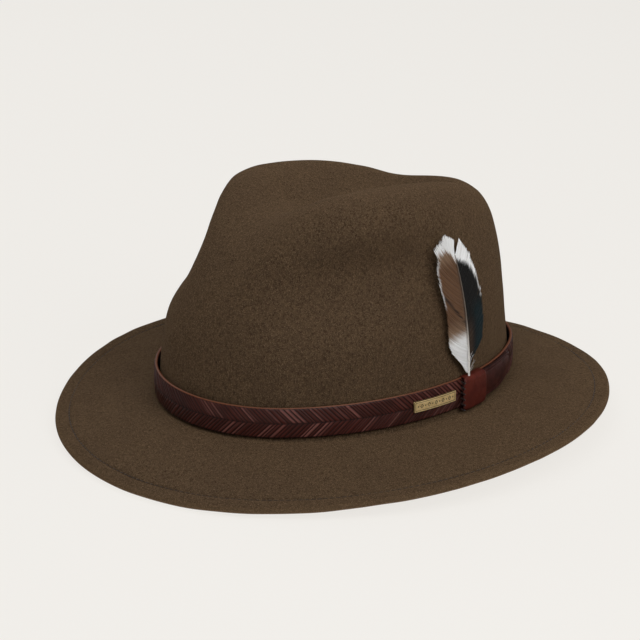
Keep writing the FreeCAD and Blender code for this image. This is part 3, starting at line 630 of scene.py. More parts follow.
def hatband():
    """Leather band cut with two rows of slanted ribs that meet in points along its middle."""
    start, end = KEEPER_AT + STRAP_GAP_HALF, KEEPER_AT + FOOT_LENGTH - STRAP_GAP_HALF
    places, depths, shades = rib_columns(start - RIB_MARGIN, end + RIB_MARGIN)
    low_depths, low_shades = np.roll(depths, RIB_COLUMNS * 7), np.roll(shades, RIB_COLUMNS * 5)
    half = np.array([0, 0.012, 0.03, 0.055, *np.linspace(0.09, 0.47, 7), 0.485])
    share = np.concatenate([half, [0.5], 1 - half[::-1]])[:, None]

    def between_ends(wanted):
        """Places kept between the band's ends, with those past an end pressed together there."""
        kept = np.clip(wanted, start, end)
        return kept + PRESSED * (wanted - kept), kept == wanted

    slant = -np.abs(share - 0.5) * STRAP_HEIGHT * RIB_SLANT
    distance, inside = between_ends(places + slant)
    rim = smooth(0, BAND_RIM, share) * smooth(0, BAND_RIM, 1 - share)
    seam = 1 - 0.7 * bell(share - 0.5, 0.022)
    rib = np.where(share > 0.5, depths, low_depths) * rim * seam * inside
    bulge = STRAP_CROWN * (1 - ((share - 0.5) / 0.5) ** 2)
    grow = STRAP_FRONT + RIB_DEPTH * (rib - rim) + bulge - 0.55 * (1 - rim)
    front = on_foot(distance, grow, STRAP_BOTTOM + STRAP_HEIGHT * share + saddle(distance))
    back_share = np.array([0.985, 0.75, 0.5, 0.25, 0.015])[:, None]
    back_distance, _ = between_ends(places - STRAP_HEIGHT / 4)
    back_height = STRAP_BOTTOM + STRAP_HEIGHT * back_share + saddle(back_distance)
    back = on_foot(back_distance, STRAP_BACK, back_height)
    cut = np.zeros((len(share) + len(back_share), len(places), 3))
    cut[..., 0] = np.concatenate([share, back_share])
    cut[:len(share), :, 1] = rib
    cut[:len(share), :, 2] = np.where(share > 0.5, shades, low_shades)
    keep = slice(np.searchsorted(places, start), np.searchsorted(places, end - slant.min()))
    sheet = np.concatenate([front, back])[:, keep].transpose(1, 0, 2)
    build = Build("hatband")
    build.rings(sheet, cut=cut[:, keep].transpose(1, 0, 2))
    settle(build, band_material(), "hatband", "band_leather", "hatband_strap")


def band_material():
    """Waxed oxblood leather: near-black painted shade in the cuts, a painted grey-pink highlight on the
    ridges, and a raw tan edge along the top.
    """
    look = Look("band_leather")
    share, rise, shade = look.vector("cut")
    grain = look.noise(0.5, detail=4, roughness=0.7)
    # Painted shade: the cuts between ribs stay near-black and only the ridges take the oxblood colour
    look.paint(srgb(11, 4, 3))
    look.paint(srgb(74, 31, 24), rise, 0.0, 0.7)
    look.paint(srgb(44, 18, 13), look.noise(9, detail=2), 0.35, 0.65, 0.5)
    # Painted highlight: a grey-pink gloss on the tops of the ridges, stronger on some ribs than on others
    painted_highlight = look.math("MULTIPLY", look.mapped(rise, 0.6, 1.0), look.mapped(shade, 0.35, 1.0, 0, 0.55))
    look.paint(srgb(146, 96, 88), painted_highlight)
    look.paint(srgb(122, 72, 48), share, 0.972, 0.99)
    look.emboss(grain, 0.12)
    rough = look.mapped(grain, 0.3, 0.7, 0.36, 0.55)
    return look.done(Roughness=rough, Specular_IOR_Level=0.25, Coat_Weight=0.04, Coat_Roughness=0.35)


# ---------------------------------------------------------------- tongue, keeper and plate

def strap_tongue():
    """Smooth leather end that runs out of the keeper to a rounded tip, creased along its outline."""
    low_corner, high_corner = box_mm("strap_tongue")
    tip = foot_distance(low_corner[0], high_corner[1]) - KEEPER_AT - 0.4
    bottom, top = STRAP_BOTTOM + 0.4, STRAP_BOTTOM + STRAP_HEIGHT - 0.2
    tip_height = STRAP_BOTTOM + 0.62 * STRAP_HEIGHT
    station = TONGUE_FROM + (tip - TONGUE_FROM) * np.sin(np.linspace(0, math.pi / 2, 90))

    def edge(height, begin):
        """One long edge, which rounds in towards the tip from a share of the length on."""
        fall = np.clip((station / tip - begin) / (1 - begin), 0, 0.9999)
        return height + (tip_height - height) * (1 - np.sqrt(1 - fall ** 2.2))

    low, high = edge(bottom, 0.5), edge(top, 0.8)
    share = (1 - np.cos(np.linspace(0, math.pi, 40))) / 2
    height = low[:, None] + (high - low)[:, None] * share
    along = np.broadcast_to(station[:, None], height.shape)
    outline = np.concatenate([np.stack([station, low], -1), np.stack([station, high], -1)])
    spots = np.stack([along, height], -1)[:, :, None]
    inset = np.linalg.norm(spots - outline, axis=-1).min(-1)
    lift = -0.5 * (1 - smooth(0, 0.8, inset)) - 0.28 * bell(inset - TONGUE_CREASE_INSET, 0.35)
    lift = lift + 0.35 * smooth(0, 7, inset) + 0.12 * np.sin(along / 7.0)
    where = KEEPER_AT + along
    front = on_foot(where, TONGUE_FRONT + lift, height + saddle(where))
    back = on_foot(where, TONGUE_BACK, height + saddle(where))
    build = Build("strap_tongue_end")
    build.rings(np.concatenate([front, back[:, ::-1]], 1), inset=np.concatenate([inset, 0 * inset], 1))
    look = smooth_leather("tongue_leather", srgb(66, 25, 20), srgb(48, 17, 13))
    settle(build, look, "hatband", "tongue_leather", "strap_tongue")


def smooth_leather(name, colour, deep):
    """Smooth waxed leather with fine grain, darker along its edges."""
    look = Look(name)
    patch = look.noise(6)
    look.paint(colour)
    look.paint(deep, patch, 0.3, 0.7)
    look.paint(srgb(24, 11, 8), look.value("inset"), 0.9, 0.0, 0.7)
    look.emboss(look.pores(0.7), 0.05)
    look.emboss(look.noise(0.35, detail=4, roughness=0.7), 0.06)
    rough = look.mapped(patch, 0.3, 0.7, 0.38, 0.52)
    return look.done(Roughness=rough, Specular_IOR_Level=0.22, Coat_Weight=0.03, Coat_Roughness=0.4)


def keeper_section():
    """Closed outline of the keeper seen along the band: distance out and height."""
    points = []
    for start, out_end, level_end in ((0, 1, 1), (90, -1, 1), (180, -1, -1), (270, 1, -1)):
        radius = KEEPER_CORNER_FRONT if out_end > 0 else KEEPER_CORNER_BACK
        out = (KEEPER_FRONT if out_end > 0 else KEEPER_BACK) - out_end * radius
        level = KEEPER_BOTTOM + (KEEPER_HEIGHT if level_end > 0 else 0) - level_end * radius
        for angle in np.radians(start + np.linspace(0, 90, 7)):
            points.append((out + radius * math.cos(angle), level + radius * math.sin(angle)))
    points.append(points[0])
    walk = walked(points)
    return sampled(np.linspace(0, walk[-1], KEEPER_POINTS, endpoint=False), walk, points)


def keeper():
    """Leather loop, a little fuller in the middle, with one rough edge."""
    section = keeper_section()
    centre = section.mean(0)
    facing_out = section[:, 0] > centre[0]
    fullness = (section[:, 1] - centre[1]) / (KEEPER_HEIGHT / 2)
    along_outline = unit(np.roll(section, -1, 0) - np.roll(section, 1, 0))
    inward = np.stack([-along_outline[:, 1], along_outline[:, 0]], -1)
    inward = inward * np.where((inward * (centre - section)).sum(1) < 0, -1, 1)[:, None]
    end = np.array([0.91, 0.955, 0.985, 1])
    station = np.concatenate([-end[::-1], np.linspace(-0.82, 0.82, 15), end])[:, None]
    random = np.random.RandomState(5)
    notch = 0.45 * np.sin(section[:, 1] * TURN * KEEPER_STITCHES / KEEPER_HEIGHT)
    notch = notch + random.uniform(-0.12, 0.12, KEEPER_POINTS)
    along = station * KEEPER_HALF_LENGTH * (1 - 0.17 * np.abs(fullness) ** 4)
    where = KEEPER_AT + along + notch * smooth(-0.9, -1.0, station)
    swell = 0.3 * (1 - station ** 2) * facing_out * (1 - fullness ** 2)
    sink = 0.35 * smooth(0.9, 1.0, np.abs(station)) - swell
    outer = section + inward * sink[..., None]
    inner = section + inward * (KEEPER_LEATHER * np.where(facing_out, 1.0, 0.35))[:, None]
    outside = on_foot(where, outer[..., 0], outer[..., 1])
    inside = on_foot(where, inner[:, 0], inner[:, 1])
    inset = (1 - np.abs(station)) * KEEPER_HALF_LENGTH
    build = Build("keeper")
    build.rings(folded(outside, inside), loop=True, inset=folded(inset, inset))
    look = smooth_leather("keeper_leather", srgb(96, 36, 25), srgb(78, 28, 20))
    settle(build, look, "keeper", "keeper_leather", "keeper_loop")


def keeper_stitches():
    """Thick waxed stitches over the keeper's rough edge."""
    steps = np.linspace(0, 1, 9)
    number = np.arange(KEEPER_STITCHES)[:, None]
    height = KEEPER_BOTTOM + KEEPER_HEIGHT * (number + 0.6) / (KEEPER_STITCHES + 0.3) + 1.3 * (steps - 0.5)
    along = KEEPER_AT - KEEPER_HALF_LENGTH * 0.9 - 1.9 * np.sin(steps * math.pi * 0.55)
    arch = 0.25 * np.sin(steps * math.pi) - 1.5 * smooth(0.45, 1, steps) - 0.5 * (steps == 0)
    grow = KEEPER_FRONT + 0.1 + arch
    paths = on_foot(along, grow, height)
    build = Build("keeper_stitches")
    build.tubes(paths, 0.3, 8, unit(on_foot(along, grow + 1, height) - paths))
    look = thread_material("waxed_thread", srgb(36, 20, 16))
    settle(build, look, "keeper", "keeper_thread", "keeper_thread")


def plate_relief(along, height, half_length, half_height):
    """Height of the plate's face: rounded rim, one border line and a row of lozenges and dots."""
    inset = np.minimum(half_length - np.abs(along), half_height - np.abs(height))
    face = -0.4 * (1 - smooth(0, PLATE_EDGE, inset)) - PLATE_CUT * bell(inset - PLATE_BORDER, 0.14)
    step = 2 * (half_length - 2.6) / 10
    index = np.round(along / step)
    local = along - index * step
    centre = np.hypot(local, height)
    lozenge = bell(np.abs(local) / 1.05 + np.abs(height) / 1.25 - 0.85, 0.2)
    motif = np.where(index % 2 == 0, np.maximum(lozenge, bell(centre, 0.22)), bell(centre, 0.42))
    return face - PLATE_CUT * motif * (np.abs(along) < half_length - 2.0)


def badge():
    """Small brass plate, bent to follow the band, with a plain engraved pattern and two prongs."""
    box = box_mm("badge_plate")
    centre_at, level = foot_distance(*box.mean(0)[:2]), box.mean(0)[2]
    half_length, half_height = np.ptp(box, axis=0)[1:] / 2
    far, up = np.linspace(-half_length, half_length, 230), np.linspace(-half_height, half_height, 54)
    far, up = np.meshgrid(far, up, indexing="ij")
    over = np.maximum(np.abs(up) - (half_height - PLATE_CORNER), 0)
    limit = half_length - PLATE_CORNER + np.sqrt(np.maximum(PLATE_CORNER ** 2 - over ** 2, 0))
    far = np.clip(far, -limit, limit)
    relief = plate_relief(far, up, half_length, half_height)
    out = STRAP_FRONT + STRAP_CROWN + PLATE_LIFT
    front = on_foot(centre_at + far, out + PLATE_THICK + relief, level + up)
    back = on_foot(centre_at + far, out, level + up)
    build = Build("brass_plate")
    build.rings(np.concatenate([front, back[:, ::-1]], 1), relief=np.concatenate([relief, 0 * relief], 1))
    prong_at = centre_at + np.array([-9.0, 9.0])[:, None]
    paths = on_foot(prong_at, out + np.array([-1.6, -0.8, 0.1]), level)
    build.tubes(paths, 0.7, 8, [0, 0, 1.0], relief=np.zeros(paths.shape[:2]))
    settle(build, brass_material(), "hatband", "brass", "badge_plate")


def brass_material():
    """Brushed brass, darkened in its engraving."""
    look = Look("brushed_brass")
    brushed = look.noise(0.3, stretch=(1, 1, 9))
    look.paint(srgb(246, 218, 160))
    look.paint(srgb(226, 196, 138), look.noise(3, detail=2), 0.3, 0.7)
    look.paint(srgb(84, 62, 36), look.value("relief"), -0.03, -0.14)
    look.emboss(brushed, 0.008)
    return look.done(Roughness=look.mapped(brushed, 0.3, 0.7, 0.38, 0.52), Metallic=0.55)


# ---------------------------------------------------------------- feather

def shaft_across(height):
    """Distance of the curved shaft towards the hat's back."""
    return 2.4 - SHAFT_BEND * (height - 24) ** 2


def feather_points(across, height, out):
    """Points of the feather from its own directions: towards the back, up the shaft and out."""
    ray = np.array([math.cos(FEATHER_ARC), math.sin(FEATHER_ARC), 0])
    back = np.array([-math.sin(FEATHER_ARC), math.cos(FEATHER_ARC), 0])
    up = np.array([0, 0, 1.0])
    origin = ray * (FOOT_SIDE_RADIUS + FEATHER_OUT) - [FOOT_SIDE_OFFSET, 0, -FEATHER_LEVEL]
    leaned = up * math.cos(FEATHER_LEAN_FRONT) - back * math.sin(FEATHER_LEAN_FRONT)
    along = leaned * math.cos(FEATHER_TILT_IN) - ray * math.sin(FEATHER_TILT_IN)
    side = unit(back + up * math.tan(FEATHER_LEAN_FRONT))
    face = unit(np.cross(side, along))
    bend = FEATHER_BEND * smooth(*FEATHER_BEND_SPAN, height)
    parts = np.broadcast_arrays(across + bend, height - 0.52 * bend, out - bend)
    return origin + sum(part[..., None] * way for part, way in zip(parts, (side, along, face)))


FEATHER_FACE = unit(feather_points(0.0, 30.0, 1.0) - feather_points(0.0, 30.0, 0.0))


def vane(name, side, outline, seed, ridge, fray, marks):
    """Barbs of one side of the feather; marks gives the three marks at each of their points."""
    random = np.random.RandomState(seed)
    walk = walked(np.array(outline)[:, :2])
    tip = sampled(np.linspace(0, walk[-1], BARBS), walk, outline)
    tuft = np.repeat(random.normal(size=BARBS // TUFT + 1), TUFT)[:BARBS, None]
    grow = 1 + fray * (0.035 * tuft + 0.03 * random.normal(size=(BARBS, 1)))
    root = np.stack([shaft_across(tip[:, 2]), tip[:, 2]], -1)
    reach = (tip[:, :2] - root) * grow
    swing = -side * BARB_SWING
    turned = reach @ np.array([[math.cos(swing), math.sin(swing)], [-math.sin(swing), math.cos(swing)]])
    share = np.linspace(0, 1, BARB_STEPS)[:, None]
    root, reach, turned = root[:, None], reach[:, None], turned[:, None]
    flat = root + turned * share * (1 - share) + reach * share ** 2
    across, height, share = flat[..., 0], flat[..., 1], np.broadcast_to(share[:, 0], flat.shape[:2])
    away = np.abs(across - shaft_across(height))
    out = 0.5 * (away / 16) ** 2 + ridge * np.sin(math.pi * np.minimum(away / 18, 1))
    out = out + 0.05 * random.normal(size=(BARBS, 1)) + 0.08 * tuft * share
    radii = BARB_RADIUS * (1 - 0.8 * smooth(0.93, 1.0, share))
    nearness = (1 - share) * np.linalg.norm(reach, axis=-1)
    tone = marks(across, height + fray * random.normal(size=(BARBS, 1)), nearness, share)
    shade = np.broadcast_to(random.uniform(size=(BARBS, 1)), share.shape)
    build = Build(name)
    build.tubes(feather_points(across, height, out), radii, 4, FEATHER_FACE, flat=0.4, tone=tone, shade=shade)
    return build, random


def down(build, random, side, count):
    """Loose downy barbs at the foot of the feather."""
    rise = np.linspace(0, 1, 8)
    height, length, lean, curl, stray = (
        random.uniform(low, high, (count, 1))
        for low, high in ((1.0, 13.0), (3.0, 7.5), (0.35, 0.95), (-0.5, 0.9), (-0.4, 0.9))
    )
    across = shaft_across(height) + side * length * (rise * np.sin(lean) + 0.15 * curl * rise ** 2)
    up = height + length * (rise * np.cos(lean) + 0.2 * curl * rise ** 2)
    paths = feather_points(across, up, 0.3 + stray * rise)
    tone = np.broadcast_to([1.0, 0, 0], paths.shape)
    shade = np.broadcast_to(random.uniform(size=(count, 1)), paths.shape[:2])
    build.tubes(paths, 0.075 * (1 - 0.5 * rise), 4, FEATHER_FACE, tone=tone, shade=shade)


def brown_marks(across, height, nearness, share):
    """White cap, edge and foot; painted shade along a fold; paler brown near the cap and the foot."""
    cap = np.interp(across, [-17.3, -11.4, -6.1, -2.8], [72.0, 73.4, 70.6, 65.5])
    white = np.maximum(smooth(-0.8, 0.8, height - cap), smooth(27, 19.5, height))
    white = np.maximum(white, 0.9 * smooth(1.7, 0.6, nearness) * smooth(41, 47, height))
    fold_line = 34.7 + (52.0 - 34.7) * (-2.6 - across) / 15.7
    # Painted shade along the crease where one group of barbs lies over the next
    painted_fold_shade = smooth(-2.6, -0.2, height - fold_line) * smooth(0.5, 0.0, height - fold_line)
    return np.stack([white, painted_fold_shade, smooth(62, 72, height) + smooth(36, 24, height)], -1)


def dark_marks(across, height, nearness, share):
    """White tip above the dark part, a taupe foot beside the shaft and a teal sheen."""
    tip = np.interp(across, [-1.9, 7.1, 12.1, 15.6], [66.5, 61.3, 53.2, 42.0])
    taupe = smooth(0.42, 0.18, share) * smooth(34, 22, height)
    taupe = np.minimum(taupe + 0.8 * smooth(0.7, 0.1, nearness) * smooth(30, 36, height), 1)
    sheen = smooth(0.25, 0.6, share) * smooth(44, 32, height) * smooth(6, 14, height)
    return np.stack([smooth(-0.7, 0.9, height - tip), taupe, sheen], -1)


def barb_material(name, base, second, third):
    """Fine matt barbs: white, the second and the third colour where their marks say so."""
    look = Look(name)
    white, second_mark, third_mark = look.vector("tone")
    shade = look.value("shade")
    look.paint(base)
    look.paint(third, third_mark)
    look.paint(second, second_mark)
    look.paint((0.01, 0.008, 0.007, 1), shade, 0.0, 1.0, 0.3)
    greyer = look.mapped(shade, 0.3, 1.0, 0.0, 0.5)
    look.paint(look.mix(greyer, srgb(255, 255, 255), srgb(234, 232, 229)), white)
    look.emboss(look.noise(0.12, detail=2, stretch=(1, 1, 0.25)), 0.05)
    return look.done(
        Roughness=0.66, Specular_IOR_Level=0.14, Sheen_Weight=0.05,
        Subsurface_Weight=look.math("MULTIPLY", white, 0.15), Subsurface_Radius=(0.001, 0.001, 0.001),
    )


def feather():
    """A striped feather in two vanes on a curved shaft, tucked into the keeper."""
    # The brown vane's second colour is the painted shade of its fold
    brown = srgb(112, 80, 56), srgb(44, 31, 23), srgb(150, 121, 96)
    dark = srgb(18, 17, 16), srgb(60, 46, 35), srgb(16, 34, 38)
    for name, side, outline, seed, ridge, fray, marks, wisps, colours in (
        ("brown", -1, BROWN_OUTLINE, 21, 0.4, 0.6, brown_marks, 46, brown),
        ("dark", 1, DARK_OUTLINE, 22, 0.5, 0.3, dark_marks, 12, dark),
    ):
        build, random = vane(name + "_vane", side, outline, seed, ridge, fray, marks)
        down(build, random, side, wisps)
        look = barb_material(name + "_barbs", *colours)
        settle(build, look, "feather", name + "_vane", "feather_" + name + "_vane")
    height = np.linspace(SHAFT_FOOT, SHAFT_TOP, 60)
    path = feather_points(shaft_across(height), height, 0.28)
    radii = 0.62 - 0.42 * smooth(0, SHAFT_TOP, height) ** 0.8
    radii = radii * smooth(SHAFT_FOOT - 3, SHAFT_FOOT + 1.5, height)
    build = Build("feather_shaft")
    build.tubes(path[None], radii, 12, FEATHER_FACE, level=height[None])
    settle(build, shaft_material(), "feather", "quill", "feather_quill")


def shaft_material():
    """Horn, white at its foot and greyer towards the tip."""
    look = Look("horn")
    streak = look.noise(0.4, stretch=(1, 1, 0.15))
    look.paint(srgb(232, 228, 222))
    look.paint(srgb(112, 100, 90), look.value("level"), 8.0, 34.0)
    look.paint(srgb(150, 134, 116), streak, 0.4, 0.8, 0.3)
    look.emboss(streak, 0.04)
    return look.done(Roughness=0.38, Subsurface_Weight=0.1, Subsurface_Radius=(0.001, 0.001, 0.001))


# ---------------------------------------------------------------- inside the crown

def inner_skin(climbs, count):
    """Rings of the crown's outer skin from the top down, and their outward normals."""
    rows = crown_points(turns(count), np.radians(climbs)[:, None])
    return rows, skin_normals(rows)


def satin(name, rows, normals, inward, loop, node):
    """A closed thin sheet of satin inside the skin: down its near side and back up its far side."""
    near = rows - normals * (inward + LINING_DEPTH)[..., None]
    build = Build(name)
    build.rings(folded(near, near - normals * LINING_THICK), loop=loop)
    settle(build, satin_material(), "felt", "satin", node)


def lining_side():
    """Satin round the crown's wall, in soft folds gathered at its upper seam."""
    rows, normals = inner_skin(np.linspace(LINING_SEAM, LINING_FROM, 46), LINING_TURNS)
    turn = turns(LINING_TURNS)
    drop = np.linspace(0, 1, len(rows))[:, None]
    folds = np.maximum(ripple(rows * [1, 1, 0.22], 34, 41), 0) ** 1.5
    pleats = 0.5 + 0.5 * np.sin(turn * 74 + 2.2 * np.sin(turn * 5))
    gathers = pleats * np.exp(-drop * 7) * smooth(0, 0.04, drop)
    inward = 0.9 * folds * smooth(0, 0.25, drop) * smooth(1.0, 0.75, drop) + 0.55 * gathers
    satin("satin_side", rows, normals, inward, True, "lining_side")


def slackened(rows, normals):
    """How far a slack cloth held round its seam hangs below the crown's top, by a cloth simulation."""
    start = rows - normals * LINING_DEPTH
    count, around = start.shape[:2]
    hub = count * around
    faces = ring_faces(count, around, False) + [(k, (k + 1) % around, hub) for k in range(around)]
    mesh = bpy.data.meshes.new("slack")
    mesh.from_pydata(np.vstack([start.reshape(-1, 3), start[0].mean(0)]) * MM, [], faces)
    cloth = add_object(mesh)
    held = cloth.vertex_groups.new(name="held")
    held.add(list(range(hub - around, hub)), 1.0, "REPLACE")
    settings = cloth.modifiers.new("cloth", "CLOTH").settings
    settings.vertex_group_mass = "held"
    settings.mass, settings.quality = 0.08, 6
    settings.tension_stiffness, settings.bending_stiffness = 15, 0.02
    settings.shrink_min = settings.shrink_max = -0.035
    for number in range(1, 26):
        bpy.context.scene.frame_set(number)
    seen = cloth.evaluated_get(bpy.context.evaluated_depsgraph_get()).to_mesh()
    moved = np.empty(len(seen.vertices) * 3, np.float32)
    seen.vertices.foreach_get("co", moved)
    moved = moved[:hub * 3].reshape(start.shape) / MM
    bpy.context.scene.frame_set(1)
    bpy.data.objects.remove(cloth)
    return np.clip(-((moved - start) * normals).sum(-1), 0, TIP_SAG)


def lining_tip():
    """Satin under the crown's top, slack and softly wrinkled."""
    rows, normals = inner_skin(np.linspace(88.5, LINING_SEAM + 0.6, 50), TIP_TURNS)
    rim = np.linspace(1, 0, len(rows))[:, None]
    inward = slackened(rows, normals) + 0.2 * np.maximum(ripple(rows, 22, 44), 0) * smooth(0, 0.1, rim)
    satin("satin_tip", rows, normals, inward, False, "lining_tip")


def satin_material():
    """Bronze satin with a fine weave and a soft shine."""
    look = Look("bronze_satin")
    weft = look.noise(0.22, detail=2, stretch=(1, 1, 4))
    warp = look.noise(0.22, detail=2, stretch=(0.4, 0.4, 0.3))
    look.paint(srgb(134, 110, 84))
    look.paint(srgb(112, 90, 67), look.noise(14), 0.3, 0.7)
    look.paint(srgb(168, 143, 112), weft, 0.35, 0.75, 0.35)
    look.emboss(warp, 0.03)
    look.emboss(weft, 0.04)
    rough = look.mapped(warp, 0.3, 0.7, 0.3, 0.42)
    return look.done(Roughness=rough, Anisotropic=0.5, Sheen_Weight=0.25, Sheen_Roughness=0.4)


def piping():
    """Twisted satin cord over the lining's seam."""
    rows, normals = inner_skin([LINING_SEAM + 1.8, LINING_SEAM + 0.3, LINING_SEAM - 1.2], PIPING_TURNS)
    centre = rows[1] - normals[1] * (LINING_DEPTH + LINING_THICK + 0.75)
    along = unit(np.roll(centre, -1, 0) - np.roll(centre, 1, 0))
    side, out = np.cross(along, normals[1])[:, None], normals[1][:, None]
    angle = turns(CORD_SIDES)
    strand = np.abs(np.sin(1.5 * (angle + np.arange(PIPING_TURNS)[:, None] * TURN / 9)))
    ring = side * np.cos(angle)[:, None] + out * np.sin(angle)[:, None]
    build = Build("piping_cord")
    radius = (PIPING_RADIUS + STRAND_DEPTH * strand)[..., None]
    build.rings(centre[:, None] + ring * radius, loop=True, strand=strand)
    look = Look("satin_cord")
    # Painted shade: dark in the grooves between the twisted strands, lighter on their crests
    look.paint(srgb(38, 23, 16))
    look.paint(srgb(92, 62, 44), look.value("strand"), 0.1, 0.8)
    look.emboss(look.noise(0.15, detail=2), 0.05)
    settle(build, look.done(Roughness=0.42, Sheen_Weight=0.3), "felt", "piping", "lining_piping")


def sweatband():
    """Leather sweatband: free and slightly wavy at its top, pressed with two lines, sewn near its foot."""
    turn = turns(BAND_TURNS)
    level = [(BAND_TOP, BAND_TOP - 1, 4), (BAND_TOP - 1.4, 5.2, 30), (4.8, 0.4, 14)]
    level = np.concatenate([np.linspace(*span) for span in level])
    rows, normals = inner_skin(np.degrees(np.arctan2(level, CROWN_HEIGHT)), BAND_TURNS)
    height = rows[..., 2]
    wave = np.sin(turn * 3 + 0.6) + 0.6 * np.sin(turn * 7 + 2.0) + 0.4 * np.sin(turn * 11)
    stand = smooth(8, BAND_TOP, height) * (1.15 + 0.35 * wave)
    lines = bell(height - 31.8, 0.45) + bell(height - 30.4, 0.45) + bell(height - 3.4, 0.7)
    seam = bell((turn - math.pi) * FOOT_HALF_LENGTH, 0.5)
    pressed = np.clip(lines + seam, 0, 1)
    inner = BAND_THICK * (1 - 0.25 * lines) - 0.4 * seam
    round_top = np.clip((height - (BAND_TOP - 0.5)) / 0.5, 0, 1) ** 2 * 0.4
    near = rows - normals * (BAND_DEPTH + stand + round_top)[..., None]
    far = rows - normals * (BAND_DEPTH + stand + inner - round_top)[..., None]
    build = Build("sweatband_strip")
    build.rings(folded(near, far), loop=True, pressed=folded(pressed, pressed))
    look = sweatband_material("sweatband_leather", srgb(104, 68, 44), srgb(82, 52, 33))
    settle(build, look, "felt", "sweatband_leather", "sweatband")


def sweatband_material(name, colour, deep):
    """Fine-grained leather, darker in its pressed lines and where the head rubs it."""
    look = Look(name)
    grain = look.noise(0.4, detail=4, roughness=0.7)
    patch = look.noise(16, detail=4)
    look.paint(colour)
    look.paint(deep, patch, 0.35, 0.65)
    look.paint(deep, grain, 0.5, 0.8, 0.4)
    look.paint(srgb(44, 26, 16), look.value("pressed"), 0.2, 0.9, 0.75)
    look.emboss(grain, 0.08)
    look.emboss(look.pores(0.8), 0.1)
    rough = look.mapped(patch, 0.3, 0.7, 0.42, 0.56)
    return look.done(Roughness=rough, Specular_IOR_Level=0.35, Coat_Weight=0.08)


def reed():
    """Reed in its own thin leather, ribbed by the stitches that wrap it."""
    turn, angle = turns(REED_TURNS)[:, None], turns(CORD_SIDES)
    ribs = np.sin(np.arange(REED_TURNS) * TURN / 6)[:, None]
    size = REED_RADIUS + 0.05 * ribs
    wide = oval_radius(turn) - BAND_DEPTH - 0.5 + size * np.cos(angle)
    build = Build("reed")
    points = np.stack([wide * np.sin(turn), -wide * np.cos(turn), REED_LEVEL + size * np.sin(angle)], -1)
    build.rings(points, loop=True, pressed=np.clip(-ribs, 0, 1) * 0.6)
    look = sweatband_material("reed_cover", srgb(76, 48, 31), srgb(56, 35, 22))
    settle(build, look, "felt", "reed", "sweatband_reed")


def sweatband_stitches():
    """Single stitches along the sweatband's foot, and crossed ones down its back seam."""
    depth = BAND_DEPTH + BAND_THICK - 0.05 + SEAM_DIPS
    build = Build("sweatband_stitches")

    def sew(at, deep, height, radius):
        paths = on_foot(at, -deep, height)
        build.tubes(paths, radius, 6, unit(on_foot(at, -deep - 2, height) - paths))

    count = round(FOOT_LENGTH / SEAM_STEP)
    sew(np.arange(count)[:, None] * FOOT_LENGTH / count + SEAM_SHARES * SEAM_LENGTH, depth, SEAM_LEVEL, 0.24)
    rise = np.linspace(13.5, 27.5, 6)[:, None]
    lean = 1.05 * smooth(8, BAND_TOP, rise)
    for slant in (-1, 1):
        height = rise + slant * SEAM_SHARES * 2.6
        sew(FOOT_LENGTH / 2 + SEAM_SHARES * 4.4, depth + lean + 0.25 + 0.1 * slant, height, 0.22)
    look = thread_material("inner_thread", srgb(150, 122, 90))
    settle(build, look, "felt", "inner_thread", "sweatband_thread")


def ribbon(build, path, widths, facing):
    """Flat ribbon along a path of points; widths stand across it, and it is slightly cupped."""
    along = unit(np.gradient(path, axis=0))
    face = unit(facing - along * (facing * along).sum(-1, keepdims=True))
    side = np.cross(along, face) * widths[:, None] / 2
    near = [(-1, -1), (-0.5, -1.15), (0, -1.2), (0.5, -1.15), (1, -1)]
    far = [(1, 1), (0.5, 0.85), (0, 0.8), (-0.5, 0.85), (-1, 1)]
    rings = np.stack([path + side * across + face * 0.14 * deep for across, deep in near + far], 1)
    build.rings(rings, walk=walked(path)[:, None])


def bow():
    """Small ribbon bow at the sweatband's back seam: two loops, two tails and a knot."""
    centre = box_mm("sweatband_bow").mean(0)
    build = Build("ribbon_bow")
    walk, drop = np.linspace(0, 1, 41), np.linspace(0, 1, 16)
    angle = walk * TURN
    half = np.sin(angle / 2)
    for side in (-1, 1):
        x = side * (0.05 + 4.46 * (1 - np.cos(angle)))
        y = 1.15 * np.sin(angle) * (0.55 + 0.45 * half) + 0.1 * (walk - 0.5)
        path = centre + np.stack([x, y, -0.5 * half ** 2], -1)
        facing = unit(np.cross(np.gradient(path, axis=0), [0, 0, 1.0]))
        ribbon(build, path, 2.4 + 2.9 * np.maximum(half, 0) ** 0.8, facing)
        y = 0.5 - 0.9 * np.sin(drop * 3.0) - 0.4 * drop
        tail = centre + np.stack([side * (0.4 + 4.6 * drop), y, -0.6 - 4.4 * drop - 0.8 * drop ** 2], -1)
        ribbon(build, tail, 2.2 + 1.8 * drop, np.array([0, -1.0, 0]))
    angle, level = turns(32), np.linspace(-1, 1, 9)[:, None]
    wide = 1.5 - 0.25 * level ** 2 + 0.12 * np.sin(angle * 6)
    knot = [wide * np.cos(angle), 1.25 / 1.5 * wide * np.sin(angle) - 0.2, 2.0 * level + 0 * angle]
    build.rings(np.stack(knot, -1) + centre, walk=level * 2)
    look = Look("ribbon_weave")
    ribs = look.math("SINE", look.math("MULTIPLY", look.value("walk"), TURN / 0.55))
    fleck = look.noise(0.2, detail=2)
    look.paint(srgb(34, 26, 21))
    look.paint(srgb(60, 47, 38), ribs, -1, 1, 0.7)
    look.paint(srgb(84, 68, 55), fleck, 0.4, 0.8, 0.3)
    look.emboss(fleck, 0.05)
    look.emboss(ribs, 0.08)
    settle(build, look.done(Roughness=0.6, Sheen_Weight=0.4), "felt", "ribbon", "sweatband_bow")


# ---------------------------------------------------------------- the studio

def direction(azimuth, elevation):
    """Unit vector away from the hat; azimuth turns from its front towards the wearer's left."""
    azimuth, elevation = math.radians(azimuth), math.radians(elevation)
    flat = math.cos(elevation)
    return Vector((math.sin(azimuth) * flat, -math.cos(azimuth) * flat, math.sin(elevation)))


